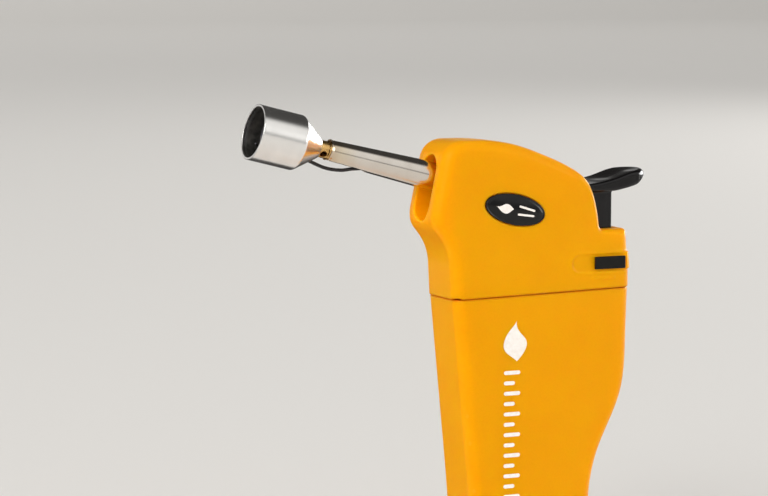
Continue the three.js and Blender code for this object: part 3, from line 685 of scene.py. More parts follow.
def turned_aluminium():
    m = Nodes("turned_aluminium", Metallic=1.0)
    station = m.along(BARREL_AXIS, PIVOT)
    rings = m.add("ShaderNodeTexNoise", {
        "W": m.maths("MULTIPLY", station, 9.0), "Scale": 1.0, "Detail": 4.0,
    }, noise_dimensions="1D").outputs["Fac"]
    bright = m.clouded(3, "#E8E6E3", "#F2F0ED")
    soot = m.blend(m.noise(1.6, 5), (0.3, "#5C5A58"), (0.7, "#96928C"))
    outside = m.scale(m.facing_axis(BARREL_AXIS, PIVOT), 0.0, 1.0, -0.5, -0.3)
    rim = reach("flame_guard", BARREL)[1]
    outside = m.maths("MAXIMUM", outside, m.scale(station, 0.0, 1.0, rim - 1.3, rim - 0.5))
    m.set("Base Color", m.mix(outside, soot, bright))
    smooth = m.scale(rings, 0.2, 0.27, 0.3, 0.7)
    m.set("Roughness", m.maths("ADD", smooth, m.scale(outside, 0.15, 0.0)))
    m.set("Anisotropic", 0.4)
    m.bump((rings, 0.0012))
    return m.material


def brass():
    m = metal("brass", (0.2, 0.38), 0.4, 0.002)
    tarnish = m.blend(m.noise(1.2, 5), (0.35, "#8F672F"), (0.62, "#DDB06C"))
    m.set("Base Color", m.mix(0.3, m.clouded(3, "#D3A25A", "#EEC684"), tarnish))
    return m.material


def steel():
    m = metal("steel", (0.25, 0.42), 0.3, 0.002)
    m.set("Base Color", m.clouded(3, "#8E8F92", "#B9BABC"))
    return m.material


def spring_steel():
    m = metal("spring_steel", (0.2, 0.34), 0.4, 0.001)
    m.set("Base Color", m.clouded(3, "#77787B", "#A5A6A8"))
    return m.material


def heat_steel():
    """Stainless steel tinted straw to blue towards the flame."""
    m = metal("heat_steel", (0.28, 0.48), 0.3, 0.002)
    heat = m.scale(m.along(BARREL_AXIS, PIVOT), 0, 1, *reach("burner_nozzle", BARREL)[:2])
    tint = m.blend(heat, (0.0, "#A7A097"), (0.5, "#B08A52"), (0.8, "#5A4E63"), (1.0, "#3A4152"))
    m.set("Base Color", m.mix(m.scale(m.noise(0.9, 4), 0.5, 0.9, 0.3, 0.7), linear("#8F8880"), tint))
    return m.material


def felt():
    m = Nodes("felt", IOR=1.4)
    fibres = m.noise(0.35, 5, (1, 1, 0.12))
    m.set("Base Color", m.blend(fibres, (0.3, "#C3BAA4"), (0.7, "#ECE6D8")))
    m.set("Roughness", m.scale(fibres, 0.85, 1.0, 0.3, 0.7))
    m.set("Sheen Weight", 0.4)
    m.bump((fibres, 0.03))
    return m.material


FINISHES = {name: moulding(name, *looks) for name, looks in MOULDINGS.items()} | {
    make.__name__: make()
    for make in (
        yellow_plastic, badge_gloss, black_gloss, chrome_tube, turned_aluminium, brass, steel,
        spring_steel, heat_steel, felt,
    )
}


# ---------------------------------------------------------------- casings

HEAD_LOW, HEAD_HIGH = corners("head_cover")
HALF_WIDTH = HEAD_HIGH[1]
FRONT_EDGE, REAR_EDGE, DOME_EDGE = 2.6, 2.2, 1.0  # rounding of the long outer edges
SEAM_GAP = 0.08
SEAM_EDGE = 0.28
HEAD_WALL = 1.6
TANK_WALL = 1.8
NOSE_WALL_END = -20.6  # where the thick wall around the burner slot ends
COLLAR_TOP = 87.5


def head_outline():
    """Side view of the head, fitted to the CAD node and running past the seam, where it is cut."""
    below = SEAM_Z - 8
    run = [
        line((-20.3, below), (25.27, below)),
        line((25.27, below), (25.2, 78)),
        line((25.2, 78), (24.45, 86.7)),
        bezier((24.45, 86.7), (24.4, 87.2), (24.1, 87.5), (23.6, 87.5), 8),
        line((23.6, COLLAR_TOP), (18.0, COLLAR_TOP)),
        bezier((18.0, COLLAR_TOP), (17.2, COLLAR_TOP), (16.95, 87.8), (16.85, 88.6), 8),
        spline(
            [(16.85, 88.6), (15.95, 93.8), (13.9, 98.7), (10.1, 101.9), (3.6, 104.9),
             (-4.5, 107.7), (-12, 108.8), (-17.7, 108.9)],
            start=(-0.08, 1), end=(-1, 0),
        ),
        bezier((-17.7, 108.9), (-20.4, 108.9), (-22.6, 107.4), (-23.2, 104.8)),
        line((-23.2, 104.8), (-25.6, 93.4)),
        bezier((-25.6, 93.4), (-26.0, 91.4), (-25.8, 89.6), (-24.6, 88.2), 16),
        bezier((-24.6, 88.2), (-22.6, 85.9), (-21.5, 84.0), (-21.1, 80.8)),
        line((-21.1, 80.8), (-20.3, below)),
    ]
    points = np.vstack(run)
    left, right = points[:, 0].min(), points[:, 0].max()
    points[:, 0] = HEAD_LOW[0] + (points[:, 0] - left) * (HEAD_HIGH[0] - HEAD_LOW[0]) / (right - left)
    points[:, 1] += HEAD_HIGH[2] - points[:, 1].max()
    return points


def tank_outline():
    """Side view of the tank, running past the seam and the base, where it is cut."""
    above = SEAM_Z + 8
    low = -6
    run = [
        line((-14.9, low), (14.9, low)),
        line((14.9, low), (14.9, 12)),
        spline(
            [(14.9, 12), (15.15, 25), (17.4, 35.4), (20.6, 42.3), (23.4, 49.1), (24.5, 56.3),
             (24.8, 66)],
            start=(0, 1), end=(0.04, 1),
        ),
        line((24.8, 66), (25.3, above)),
        line((25.3, above), (-21.3, above)),
        line((-21.3, above), (-17.0, 36.8)),
        bezier((-17.0, 36.8), (-16.0, 27), (-15.1, 16), (-14.9, low)),
    ]
    return np.vstack(run)


HEAD_OUTLINE = Outline(head_outline())
TANK_OUTLINE = Outline(tank_outline())


def edge_radius(x, z):
    """Rounding of the long edges: full at the front, crisper at the rear of the dome."""
    rear = (FRONT_EDGE - REAR_EDGE) * smooth_step(x, 0, 20)
    dome = (REAR_EDGE - DOME_EDGE) * window(x, 14, 19, 6) * smooth_step(z, 82, 87)
    return FRONT_EDGE - rear - dome


def casing(outline, x, y, z, inset=0.0, edge=None):
    """Side view extruded across the width, with round long edges and gently crowned faces."""
    edge = edge_radius(x, z) if edge is None else edge
    d = outline(x, z)
    crown = 0.2 * np.exp(np.minimum(d, 0) / 4)
    face_crown = 0.15 * (np.minimum(np.abs(y) / HALF_WIDTH, 1.2)) ** 2
    around = d + inset + face_crown + edge
    across = np.abs(y) - (HALF_WIDTH - inset - crown) + edge
    corner = np.hypot(np.maximum(around, 0), np.maximum(across, 0))
    return np.minimum(np.maximum(around, across), 0) + corner - edge


def above_seam(x, z):
    return z - SEAM_Z - SEAM_SLOPE * x


def near_side(y, depth):
    """Everything outside the plane that lies depth below the near side's face."""
    return y + HALF_WIDTH - depth


SLOT_LOW, SLOT_HIGH = 90.5, 105.5
SLOT_RADIUS = 3.75


def nose_slot(x, y, z):
    middle = (SLOT_LOW + SLOT_HIGH) / 2
    round_slot = stadium(z - middle, y, (SLOT_HIGH - SLOT_LOW) / 2, SLOT_RADIUS)
    return np.maximum(round_slot, x - NOSE_WALL_END - 3)


SLIDER_LOW, SLIDER_HIGH = corners("flow_slider")
KNOB_LOW_Z, KNOB_HIGH_Z = SLIDER_LOW[2], SLIDER_HIGH[2]
KNOB_REAR = SLIDER_HIGH[0]
KNOB_LENGTH = 8.0
KNOB_FRONT = KNOB_REAR - KNOB_LENGTH
KNOB_BACK = -7.95  # clears the groove's floor
SLIDER_TRAVEL = JOINTS["flow_slide"]["range_m"][1] / MM
GROOVE_MARGIN = 0.55


def groove_shape(x, z):
    """Side view of the slider's track: a round front end and a run to the rear edge."""
    front = KNOB_FRONT - SLIDER_TRAVEL - 0.7
    rear = KNOB_REAR + 0.35
    half = (KNOB_HIGH_Z - KNOB_LOW_Z) / 2 + GROOVE_MARGIN
    middle = (KNOB_HIGH_Z + KNOB_LOW_Z) / 2
    return np.maximum(stadium(x - front - 20, z - middle, 20, half), x - rear)


def flow_mark(x, z):
    """Long thin wedge below the slider: more gas towards the rear."""
    start, length, middle = KNOB_FRONT - 0.6, 6.2, 76.2
    half = 0.2 + 0.3 * np.clip((x - start) / length, 0, 1)
    return np.maximum(np.abs(z - middle) - half, between(x, start, start + length))


BADGE_INNER = corners("badge")[1][1]
BADGE_RIM = 0.45
BADGE_SPARE = np.array([0.4, 0.8, 0.4])
BADGE_TILT = math.radians(-12.5)
BADGE_LONG, BADGE_SHORT = 7.7, 3.5


def badge_place(x, z):
    """Coordinates along and across the badge, from its centre."""
    cx, _, cz = centre("badge")
    c, s = math.cos(BADGE_TILT), math.sin(BADGE_TILT)
    return (x - cx) * c + (z - cz) * s, -(x - cx) * s + (z - cz) * c


def head_field(x, y, z):
    shell = casing(HEAD_OUTLINE, x, y, z)
    belt = 0.42 * window(z, 78.3, 81.9, 0.35) * smooth_step(x, 23.0, 24.0)
    side = 1 - smooth_step(y, -6.5, -4.5)
    rim = 0.09 * np.exp(-((groove_shape(x, z) - 0.35) / 0.4) ** 2) * side
    mark = 0.14 * (1 - smooth_step(flow_mark(x, z), -0.25, 0.15)) * side
    shell = shell - belt - rim - mark
    cavity = casing(HEAD_OUTLINE, x, y, z, HEAD_WALL, 1.3)
    cavity = soft_max(cavity, NOSE_WALL_END - x, 0.6)
    shell = np.maximum(shell, -cavity)
    shell = carve(shell, nose_slot(x, y, z), 0.45)
    stem = block((x, y, z), (11, -4.35, COLLAR_TOP - 4), (22.4, 4.35, 92), 0.5)
    paddle = block((x, y, z), (11, -6.45, COLLAR_TOP + 2), (22.4, 6.45, 98.8), 0.9)
    shell = carve(shell, soft_min(stem, paddle, 0.5), 0.35)
    groove = soft_max(groove_shape(x, z), near_side(y, 0.1), 0.3)
    shell = carve(shell, groove, 0.3)
    opening = block((x, y, z), (15.75, -10, 78.75), (23.1, -5, 80.7), 0.2)
    shell = carve(shell, opening, 0.1)
    along, across = badge_place(x, z)
    seat = np.maximum(ellipse(along, across, BADGE_LONG + 0.16, BADGE_SHORT + 0.16), near_side(y, 0.5))
    shell = carve(shell, seat, 0.14)
    notch = block((x, y, z), (-20.6, -7.7, 71), (-18.9, -6.0, SEAM_Z - 0.1), 0.1)
    shell = carve(shell, notch, 0.08)
    return soft_max(shell, SEAM_GAP / 2 - above_seam(x, z), SEAM_EDGE)


FILL_LOW, FILL_HIGH = corners("fill_valve_body")
FILL_X = centre("fill_valve_body")[0]
FILL_BORE = (FILL_HIGH[0] - FILL_LOW[0]) / 2 + 0.1


def tank_field(x, y, z):
    shell = casing(TANK_OUTLINE, x, y, z)
    cavity = casing(TANK_OUTLINE, x, y, z, TANK_WALL, 1.3)
    cavity = soft_max(cavity, 2.5 - z, 0.8)
    shell = np.maximum(shell, -cavity)
    from_valve = np.hypot(x - FILL_X, y)
    boss = capped(from_valve - 4.8, z, 0.5, 8, 0.3)
    shell = soft_min(shell, boss, 0.5)
    bore = np.maximum(from_valve - FILL_BORE, between(z, -2, 9))
    well = np.maximum(from_valve - 3.8, z - 1.2)
    shell = carve(shell, bore, 0.12)
    shell = carve(shell, well, 0.25)
    shell = soft_max(shell, -z, 0.7)
    return soft_max(shell, above_seam(x, z) + SEAM_GAP / 2, SEAM_EDGE)


def badge_face(x, z):
    """How far the badge stands out of the side: a thin rim, a fine trough and a shallow dome."""
    along, across = badge_place(x, z)
    spread = np.hypot(along / (BADGE_LONG - BADGE_RIM), across / (BADGE_SHORT - BADGE_RIM))
    dome = 0.32 * (1 - np.minimum(spread, 1.0) ** 2)
    trough = 0.07 * np.exp(-(((spread - 1) * BADGE_SHORT / 0.14) ** 2))
    return 0.28 + dome - trough


def badge_field(x, y, z):
    along, across = badge_place(x, z)
    edge = ellipse(along, across, BADGE_LONG, BADGE_SHORT)
    plate = soft_max(edge, -(y + HALF_WIDTH + badge_face(x, z)), 0.2)
    return soft_max(plate, y - BADGE_INNER, 0.1)


# ---------------------------------------------------------------- printed marks

PRINT_THICKNESS = 0.03


def tank_face(x, z):
    """Y of the tank's near side."""
    crown = 0.2 * np.exp(np.minimum(TANK_OUTLINE(x, z), 0) / 4)
    return -(HALF_WIDTH - crown)


def printed(name, shapes, face):
    """Thin ink on a face. Each shape is a spine in X and Z with a half width at each of its points."""
    points, faces = [], []
    share = np.linspace(-1, 1, 7)
    for spine, half in shapes:
        spine = np.array(spine, float)
        tangent = np.gradient(spine, axis=0)
        tangent /= np.linalg.norm(tangent, axis=1)[:, None]
        side = np.stack([-tangent[:, 1], tangent[:, 0]], axis=1)
        first = len(points)
        for place, across, width in zip(spine, side, np.broadcast_to(half, len(spine))):
            row = place + across * (share * width)[:, None]
            depth = face(row[:, 0], row[:, 1])
            top = np.stack([row[:, 0], depth - PRINT_THICKNESS, row[:, 1]], axis=1)
            under = np.stack([row[:, 0], depth + PRINT_THICKNESS, row[:, 1]], axis=1)[::-1]
            points.extend(np.vstack([top, under]).tolist())
        columns = 2 * len(share)
        rows = len(spine)
        faces += [[first + k for k in face_] for face_ in ring_faces(rows, columns)]
        faces.append([first + k for k in range(columns)][::-1])
        faces.append([first + (rows - 1) * columns + k for k in range(columns)])
    obj = mesh_object(name, np.array(points), faces, FINISHES["print_ink"])
    obj.data.shade_flat()
    return piece(obj, "torch_body", "print_ink")


def rounded_bar(start, end, half):
    """Straight stroke with round ends."""
    t = np.sin(np.linspace(-np.pi / 2, np.pi / 2, 33))
    start, end = np.array(start, float), np.array(end, float)
    length = np.linalg.norm(end - start)
    spine = (start + end) / 2 + np.outer(t, (end - start) / 2)
    from_end = (1 - np.abs(t)) * length / 2
    inside = np.clip(1 - from_end / half, 0, 1)
    return spine, half * np.sqrt(1 - inside**2)


def drop(tip, bottom, half):
    """Flame shape: a pointed tip that leans, over a round bottom."""
    t = np.linspace(0, 1, 41)
    tip, bottom = np.array(tip), np.array(bottom)
    spine = np.outer(1 - t, tip) + np.outer(t, bottom)
    aside = np.array([tip[1] - bottom[1], bottom[0] - tip[0]])
    spine -= np.outer(0.12 * np.sin(np.pi * t) * (1 - t), aside)
    return spine, half * 1.54 * np.sin(np.pi * t**1.3) * np.sqrt(t) * np.sqrt(np.clip(1.25 - t, 0, 1))


def badge_ink_face(x, z):
    return -(HALF_WIDTH + badge_face(x, z))


def on_badge(shape):
    """Shape drawn along and across the badge, moved to X and Z."""
    spine, half = shape
    cx, _, cz = centre("badge")
    c, s = math.cos(BADGE_TILT), math.sin(BADGE_TILT)
    along, across = spine.T
    return np.stack([cx + along * c - across * s, cz + along * s + across * c], axis=1), half


def build_prints():
    """Generic marks: a flame over a row of strokes on the tank, a flame and a nozzle on the badge."""
    flame = drop((-5.2, 0.0), (-0.7, 0.0), 1.15)
    nozzle = [rounded_bar((0.6, side), (4.9, 0.62 * side), 0.24) for side in (-0.95, 0.95)]
    printed("badge_print", [on_badge(shape) for shape in [flame] + nozzle], badge_ink_face)
    flame = drop((-4.9, 67.4), (-4.9, 58.0), 3.1)
    strokes = [
        rounded_bar((-8.2, z), (-8.2 + length, z), 0.45)
        for z, length in zip(np.arange(55.4, 20.0, -2.4), [4.2, 2.8] * 8)
    ]
    printed("tank_print", [flame] + strokes, tank_face)


cast("head_shell", "head_cover", "torch_body", "yellow_plastic", head_field, 0.3, 0.5)
cast("tank_casing", "tank_shell", "torch_body", "yellow_plastic", tank_field, 0.35, 0.5)
cast("badge_dome", "badge", "torch_body", "badge_gloss", badge_field, 0.11, BADGE_SPARE)
build_prints()


# ---------------------------------------------------------------- trigger and slider

TRIGGER_LOW, TRIGGER_HIGH = corners("trigger")
STEM_REAR = 22.0
STEM_HALF = 4.0
STEM_LOW = 84.4
PADDLE_HALF = TRIGGER_HIGH[1]
PADDLE_TIP = TRIGGER_HIGH[0]
PADDLE_FRONT = 12.5
TIP_RADIUS = 7.0


def paddle_outline():
    """Side view of the thumb paddle, level where it leaves the dome. The plan cuts it at its tip."""
    beyond = PADDLE_TIP + 2
    run = [
        line((PADDLE_FRONT, 96.1), (20.5, 96.1)),
        spline([(20.5, 96.1), (24.5, 96.65), (27.5, 97.35), (30, 98.15), (beyond, 99.4)],
               start=(1, 0), end=(1, 0.4)),
        line((beyond, 99.4), (beyond, 101.3)),
        spline([(beyond, 101.3), (29.4, 101.05), (26.4, 100.55), (23, 99.5), (19, 98.5),
                (PADDLE_FRONT, 97.85)], start=(-1, 0), end=(-1, 0)),
    ]
    return np.vstack(run)


PADDLE_OUTLINE = Outline(paddle_outline(), step=0.1, margin=4, blur=0.08)


def trigger_field(x, y, z):
    dish = 0.22 * np.exp(-((y / 3.6) ** 2)) * window(x, 22, 27, 3.5)
    middle = 97.3 + 0.16 * np.maximum(x - 20, 0)
    lowered = z + dish * smooth_step(z, middle - 0.4, middle + 0.6)
    side = PADDLE_OUTLINE(x, lowered)
    plan = np.maximum(
        np.abs(y) - PADDLE_HALF,
        np.where(x > PADDLE_TIP - TIP_RADIUS, np.hypot(x - (PADDLE_TIP - TIP_RADIUS), y), np.abs(y))
        - TIP_RADIUS,
    )
    paddle = soft_max(side, plan, 0.7 + 0.7 * smooth_step(x, 25, 30))
    stem = block((x, y, z), (11, -STEM_HALF, STEM_LOW), (STEM_REAR, STEM_HALF, 97), 0.45)
    skirt = block((x, y, z), (15, -4.75, STEM_LOW), (STEM_REAR, 4.75, STEM_LOW + 1.2), 0.2)
    lean = (z - TRIGGER_LOW[2]) * 0.19
    ramp = block((x, y, z), (TRIGGER_LOW[0], -1.5, TRIGGER_LOW[2]), (11.7, 1.5, 89), 0.15)
    ramp = np.maximum(ramp, 10.88 - lean - x)
    solid = soft_min(paddle, stem, 0.7)
    return soft_min(soft_min(solid, skirt, 0.25), ramp, 0.2)


def slider_field(x, y, z):
    knob = block(
        (x, y, z), (KNOB_FRONT, SLIDER_LOW[1], KNOB_LOW_Z), (KNOB_REAR, KNOB_BACK, KNOB_HIGH_Z), 0.22,
    )
    stem = block((x, y, z), (21.0, -8.2, 79.0), (22.8, -5.5, 80.4), 0.1)
    arm = block((x, y, z), (SLIDER_LOW[0], -6.05, 79.0), (22.8, -4.8, 80.4), 0.05)
    pitch = math.pi * 0.6
    phase = (x - 2.5) / pitch
    tooth = np.abs(phase - np.round(phase))
    crest = -4.8 + 1.11 * (1 - smooth_step(1 - 2 * tooth, 0.2, 0.6))
    teeth = np.maximum(
        block((x, y, z), (SLIDER_LOW[0], -5.4, 79.0), (8.6, -3.6, 80.4), 0.02), y - crest,
    )
    return soft_min(soft_min(knob, stem, 0.15), soft_min(arm, teeth, 0.05), 0.1)


cast("thumb_trigger", "trigger", "trigger_body", "black_gloss", trigger_field, 0.16)
cast("flow_slider_knob", "flow_slider", "slider_body", "black_satin", slider_field, 0.12, 0.2)


# ---------------------------------------------------------------- burner

def burner_piece(name, node, field, step, slot):
    """Machined piece in the burner's own frame: s along it, y across, third axis down."""
    start, end, radius = reach(node, BARREL)
    low = np.array([start, -radius, -radius]) - 0.3
    high = np.array([end, radius, radius]) + 0.3
    obj = moulded(name, field, low, high, step, FINISHES[slot], BARREL)
    piece(obj, "barrel", slot, node)


TUBE_START, TUBE_END, TUBE_RADIUS = reach("barrel_tube", BARREL)
TUBE_NOSE = TUBE_START + 8
TUBE_TIP_RADIUS = 2.46
TUBE_WALL = 0.3


def tube_radius(s):
    """Outer radius of the tube: straight at the root, then a slow taper."""
    share = np.clip((s - TUBE_NOSE) / (TUBE_END - TUBE_NOSE), 0, 1)
    return TUBE_RADIUS + (TUBE_TIP_RADIUS - TUBE_RADIUS) * share


def tube_field(s, y, down):
    radius = np.hypot(y, down)
    outer = radius - tube_radius(s)
    flare = 0.13 * smooth_step(s, TUBE_END - 0.75, TUBE_END - 0.1)
    mouth = 0.18 * smooth_step(s, TUBE_END - 1.4, TUBE_END - 0.3)
    wall = np.maximum(outer - flare, -(outer + TUBE_WALL - mouth))
    tube = capped(wall, s, TUBE_START, TUBE_END, 0.1)
    slot_start = 27.0
    slot = np.maximum(stadium(s - slot_start - 12, y, 12, 1.15), -down)
    return carve(tube, slot, 0.06)


GUARD_START, GUARD_END, GUARD_RADIUS = reach("flame_guard", BARREL)
GUARD_SHOULDER = GUARD_START + 5.35
GUARD_WALL = 0.55
HUB_RADIUS = 2.4
_, INSULATOR_Y, INSULATOR_DOWN = BARREL.inverted() @ Vector(centre("electrode_insulator"))
INSULATOR_RADIUS = 0.85


def cone_radius(s, start, end, r0, r1):
    return r0 + (r1 - r0) * np.clip((s - start) / (end - start), 0, 1)


def guard_field(s, y, down):
    radius = np.hypot(y, down)
    slope = (GUARD_RADIUS - HUB_RADIUS) / (GUARD_SHOULDER - GUARD_START)
    flat = 1 / math.hypot(1, slope)
    cone = (radius - HUB_RADIUS - slope * (s - GUARD_START)) * flat
    outer = soft_max(radius - GUARD_RADIUS, cone, 0.18)
    outer = capped(outer, s, GUARD_START, GUARD_END, 0.09)
    inner_cone = (radius - HUB_RADIUS - slope * (s - GUARD_START - 0.95)) * flat
    inner = soft_max(radius - (GUARD_RADIUS - GUARD_WALL), inner_cone, 0.3)
    inner = np.maximum(inner, GUARD_START + 1.3 - s)
    shell = carve(outer, inner, 0.07)
    shell = carve(shell, radius - 1.72, 0.05)
    hole = np.hypot(y - INSULATOR_Y, down - INSULATOR_DOWN) - INSULATOR_RADIUS - 0.15
    return carve(shell, hole, 0.06)


AIR_HOLE_TURN = 38  # degrees below the near side


def venturi_field(s, y, down):
    radius = np.hypot(y, down)
    start, end, outer = reach("venturi_body", BARREL)
    hub = GUARD_START - 0.02
    body = pipe(s, radius, 0, outer - 0.12, start, hub, 0.06)
    groove = 0.12 * np.exp(-((s - TUBE_END - 0.12) / 0.16) ** 2)
    spigot = pipe(s, radius, 0, 1.6, hub - 0.3, end, 0.05)
    solid = np.minimum(body + groove, spigot)
    turn = math.radians(AIR_HOLE_TURN)
    lateral = y * math.sin(turn) + down * math.cos(turn)
    hole = np.hypot(s - (TUBE_END + GUARD_START) / 2 - 0.12, lateral) - 0.8
    solid = carve(solid, hole, 0.1)
    bore = np.where(s < TUBE_END - 0.2, 1.6, 1.15)
    return np.maximum(solid, bore - radius)


def nozzle_field(s, y, down):
    radius = np.hypot(y, down)
    start, end, outer = reach("burner_nozzle", BARREL)
    root = outer - 0.6
    wall = 0.65
    shape = cone_radius(s, start + 3.6, start + 4.8, root, outer)
    outside = capped(radius - shape, s, start, end, 0.12)
    inside = cone_radius(s, start + 3.8, start + 5.0, root - 0.55, outer - wall)
    groove = 0.14 * np.exp(-((s - end + 2.2) / 0.22) ** 2)
    return soft_max(outside + groove, inside - radius, 0.1)


def holder_field(s, y, down):
    radius = np.hypot(y, down)
    start, end, outer = reach("flame_holder", BARREL)
    disc = capped(radius - outer, s, start, end, 0.08)
    disc = carve(disc, radius - 0.7, 0.06)
    for k in range(6):
        turn = k * math.pi / 3
        port = np.hypot(y - 1.35 * math.sin(turn), down - 1.35 * math.cos(turn)) - 0.24
        disc = carve(disc, port, 0.04)
    return disc


def insulator_field(s, y, down):
    start, end, _ = reach("electrode_insulator", BARREL)
    radius = np.hypot(y - INSULATOR_Y, down - INSULATOR_DOWN)
    return pipe(s, radius, 0.3, INSULATOR_RADIUS, start, end, 0.12)


def build_electrode():
    start, end, _ = reach("electrode", BARREL)
    place = np.array([INSULATOR_Y, INSULATOR_DOWN])
    leans = (start, 0), (start + 5, 0), (start + 9.3, 0), (end - 1.2, 0.15), (end - 0.1, 1.0)
    path = smooth_path([(s, *(place * (1 - lean / np.linalg.norm(place)))) for s, lean in leans])
    wire = sweep("spark_electrode", path, 0.25, FINISHES["heat_steel"], 14, BARREL)
    piece(wire, "barrel", "heat_steel", "electrode")


def build_burner_lead():
    """Leaves the tube through its slot, sags below it and meets the electrode behind the guard."""
    start, end, _ = reach("burner_lead", BARREL)
    path = smooth_path([
        (start, 0, 1.7), (10, 0, 1.75), (25, 0, 1.7), (30, 0, 2.6), (33, 0.3, 3.6),
        (36.5, 1.4, 3.9), (end, INSULATOR_Y, INSULATOR_DOWN),
    ], 14)
    wire = sweep("ignition_lead", path, 0.4, FINISHES["lead_insulation"], 20, BARREL)
    piece(wire, "barrel", "lead_insulation", "burner_lead")


def pivot_field(s, y, down):
    _, end, _ = reach("barrel_pivot", BARREL)
    block_radius = 4.4
    half_width = 4.15
    drum = capped(np.hypot(s, down) - block_radius, y, -half_width, half_width, 0.25)
    spigot = capped(np.hypot(y, down) - 2.75, s, 3, end, 0.2)
    body = soft_min(drum, spigot, 0.4)
    body = carve(body, np.hypot(y, down) - 0.95, 0.1)
    lead = np.maximum(rectangle(y, down - 1.6, 0.65, 0.8, 0.3), -s - 10)
    body = carve(body, lead, 0.1)
    pins = np.maximum(np.hypot(s, down) - 1.3, 2.6 - np.abs(y))
    return carve(body, pins, 0.12)


for burner_part in (
    ("burner_tube", "barrel_tube", tube_field, 0.13, "chrome_tube"),
    ("flame_guard_cup", "flame_guard", guard_field, 0.13, "turned_aluminium"),
    ("mixing_tube", "venturi_body", venturi_field, 0.1, "brass"),
    ("nozzle_cup", "burner_nozzle", nozzle_field, 0.1, "heat_steel"),
    ("flame_holder_disc", "flame_holder", holder_field, 0.06, "heat_steel"),
    ("insulator_tube", "electrode_insulator", insulator_field, 0.07, "ceramic"),
    ("barrel_pivot_block", "barrel_pivot", pivot_field, 0.16, "black_satin"),
):
    burner_piece(*burner_part)
build_electrode()
build_burner_lead()


# ---------------------------------------------------------------- springs and hose

def build_coil(name, node, joint, turns, wire):
    """Compression spring with closed and ground ends, riding on the parent body of its joint."""
    low, high = corners(node)
    x, y, _ = centre(node)
    radius = (high[0] - low[0]) / 2 - wire
    length = high[2] - low[2] - 2 * wire
    t = np.linspace(0, 1, turns * 28)
    closed = 0.14
    rise = t - closed / 2 * np.sin(2 * np.pi * t) / np.pi * 1.6
    angle = 2 * np.pi * turns * t
    path = np.stack([
        x + radius * np.cos(angle), y + radius * np.sin(angle), low[2] + wire + length * rise,
    ], axis=1)
    spring = sweep(name, path, wire, FINISHES["spring_steel"], 10)
    record = JOINTS[joint]
    body = record["parent"]
    piece(spring, body, "spring_steel", node)
    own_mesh(spring)


build_coil("igniter_spring", "piezo_spring", "trigger_press", 9, 0.25)
build_coil("gas_valve_spring", "valve_spring", "valve_lift", 6, 0.22)
build_coil("filler_spring", "fill_valve_spring", "fill_valve_press", 5, 0.18)


# ---------------------------------------------------------------- CAD pieces that stay

for subpart in frame["record"]["subparts"]:
    faceted = frame["nodes"][subpart["node"]].data
    faceted.materials.clear()
    faceted.materials.append(FINISHES[subpart["material_slot"]])


# ---------------------------------------------------------------- stage

def stage_sheet(name, profile, half, material):
    """Wide sheet swept along X from a profile of Y and Z."""
    points = np.array([(x, y, z) for y, z in profile for x in (-half, half)])
    faces = [[2 * k, 2 * k + 1, 2 * k + 3, 2 * k + 2] for k in range(len(profile) - 1)]
    sheet = mesh_object(name, points, faces, material)
    return sheet


def build_floor():
    """Pale floor that curves up far behind. Reflections see only its strip around the torch."""
    half, front, near, far, bend, rise = 20000.0, -6000.0, -1250.0, 60.0, 9000.0, 4000.0
    pale = Nodes("floor", Base_Color=linear("#E6E3DE"), Roughness=0.6).material
    stage_sheet("floor", [(near, 0.0), (far, 0.0)], half, pale)
    for name, start, end in (("foreground", front, near), ("background", far, bend)):
        stage_sheet(name, [(start, 0.0), (end, 0.0)], half, pale).visible_glossy = False
    curve = [
        (bend + rise * math.sin(a), rise * (1 - math.cos(a))) for a in np.linspace(0, math.pi / 2, 25)
    ]
    backdrop = stage_sheet("backdrop", curve + [(bend + rise, 3 * rise)], half, pale)
    backdrop.visible_glossy = False


def area_light(name, place, target, size, power, mirrored=True):
    """Lamp that reflections see only when it is mirrored."""
    data = bpy.data.lights.new(name, "AREA")
    data.shape = "RECTANGLE"
    data.size, data.size_y = size
    data.energy = power
    lamp = bpy.data.objects.new(name, data)
    lamp.visible_glossy = mirrored
    bpy.context.scene.collection.objects.link(lamp)
    lamp.location = place
    lamp.rotation_euler = (Vector(target) - Vector(place)).to_track_quat("-Z", "Y").to_euler()


WORLD_LIGHT = (0.58, 0.58, 0.58, 1)
WORLD_FRONT = ((0.0, 0.42), (0.05, 0.42), (0.12, 0.85), (0.8, 0.9), (1.0, 0.3))
WORLD_DARK = (0.05, 0.048, 0.046, 1)
WORLD_LID = (0.25, 0.66, 0.7)  # the reflections are dark towards here: up and behind


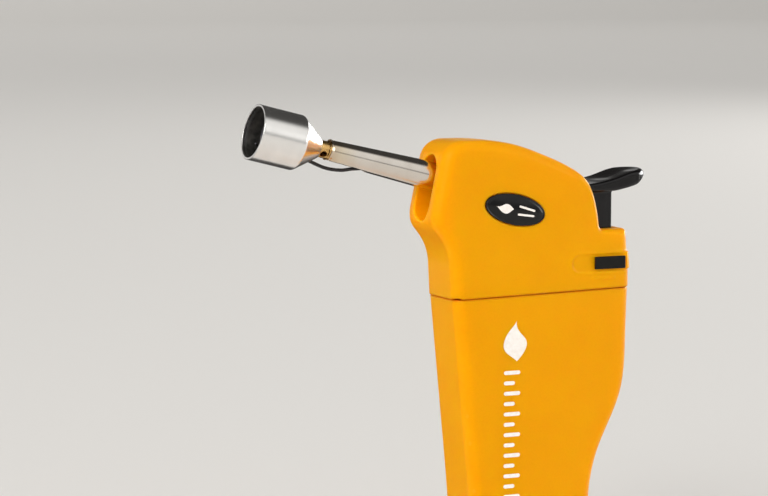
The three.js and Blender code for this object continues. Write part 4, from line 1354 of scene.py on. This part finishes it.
def build_world():
    """Even pale light. Reflections see a dark ceiling, a dark back and a thin grey horizon instead."""
    world = bpy.data.worlds.new("studio")
    bpy.context.scene.world = world
    world.use_nodes = True
    sky = Tree(world.node_tree)
    direction = sky.add("ShaderNodeTexCoord").outputs["Generated"]
    axes = sky.add("ShaderNodeSeparateXYZ", {0: direction}).outputs
    front = sky.ramp(axes["Z"], *((height, (g, g * 0.99, g * 0.97, 1)) for height, g in WORLD_FRONT))
    lid = sky.scale(sky.dot(direction, WORLD_LID), 0, 1, 0.3, 0.55)
    above = sky.maths("MULTIPLY", lid, sky.scale(axes["Z"], 0, 1, 0.12, 0.24))
    back = sky.scale(axes["Y"], 0, 1, 0.3, 0.6)
    below = sky.maths("MULTIPLY", back, sky.scale(axes["Z"], 0, 1, -0.12, -0.24))
    mirrored = sky.mix(sky.maths("ADD", above, below), front, WORLD_DARK)
    rays = sky.add("ShaderNodeLightPath").outputs["Is Glossy Ray"]
    sky.plug(world.node_tree.nodes["Background"], "Color", sky.mix(rays, WORLD_LIGHT, mirrored))


VIEW_AZIMUTH = math.radians(-24.5)
VIEW_ELEVATION = math.radians(5.8)
VIEW_DISTANCE = 0.600
VIEW_LENS = 120.94
VIEW_CENTRE = (-0.03163, 0.01209)  # how far right and up of mid-torch the camera aims, in metres


def build_camera():
    """Looks at the near side from ahead of the nose, with the base cropped by the frame."""
    a, e = VIEW_AZIMUTH, VIEW_ELEVATION
    back = Vector((math.sin(a) * math.cos(e), -math.cos(a) * math.cos(e), math.sin(e)))
    right = Vector((math.cos(a), math.sin(a), 0))
    up = back.cross(right)
    aim = Vector((0, 0, 0.071)) + right * VIEW_CENTRE[0] + up * VIEW_CENTRE[1]
    data = bpy.data.cameras.new("camera")
    data.sensor_width = 36
    data.lens = VIEW_LENS
    camera = bpy.data.objects.new("camera", data)
    bpy.context.scene.collection.objects.link(camera)
    camera.matrix_world = Matrix.Translation(aim + back * VIEW_DISTANCE) @ Matrix(
        (right, up, back)
    ).transposed().to_4x4()
    bpy.context.scene.camera = camera


build_floor()
build_world()
build_camera()
area_light("key", (-2.2, -1.6, 1.6), (0, 0, 0.08), (1.6, 1.4), 45)
area_light("side", (2.1, -1.45, 0.5), (0, 0, 0.08), (1.3, 0.9), 15)
area_light("front", (-2.4, -0.9, 0.5), (0, 0, 0.09), (0.9, 0.7), 12, mirrored=False)
area_light("rim", (2.4, 0.8, 0.45), (0, 0, 0.08), (1.6, 0.9), 36)
area_light("sky", (0, 8.0, 7.0), (0, 8.0, 0), (10.0, 8.0), 170, mirrored=False)
bpy.context.scene.view_settings.view_transform = "Standard"
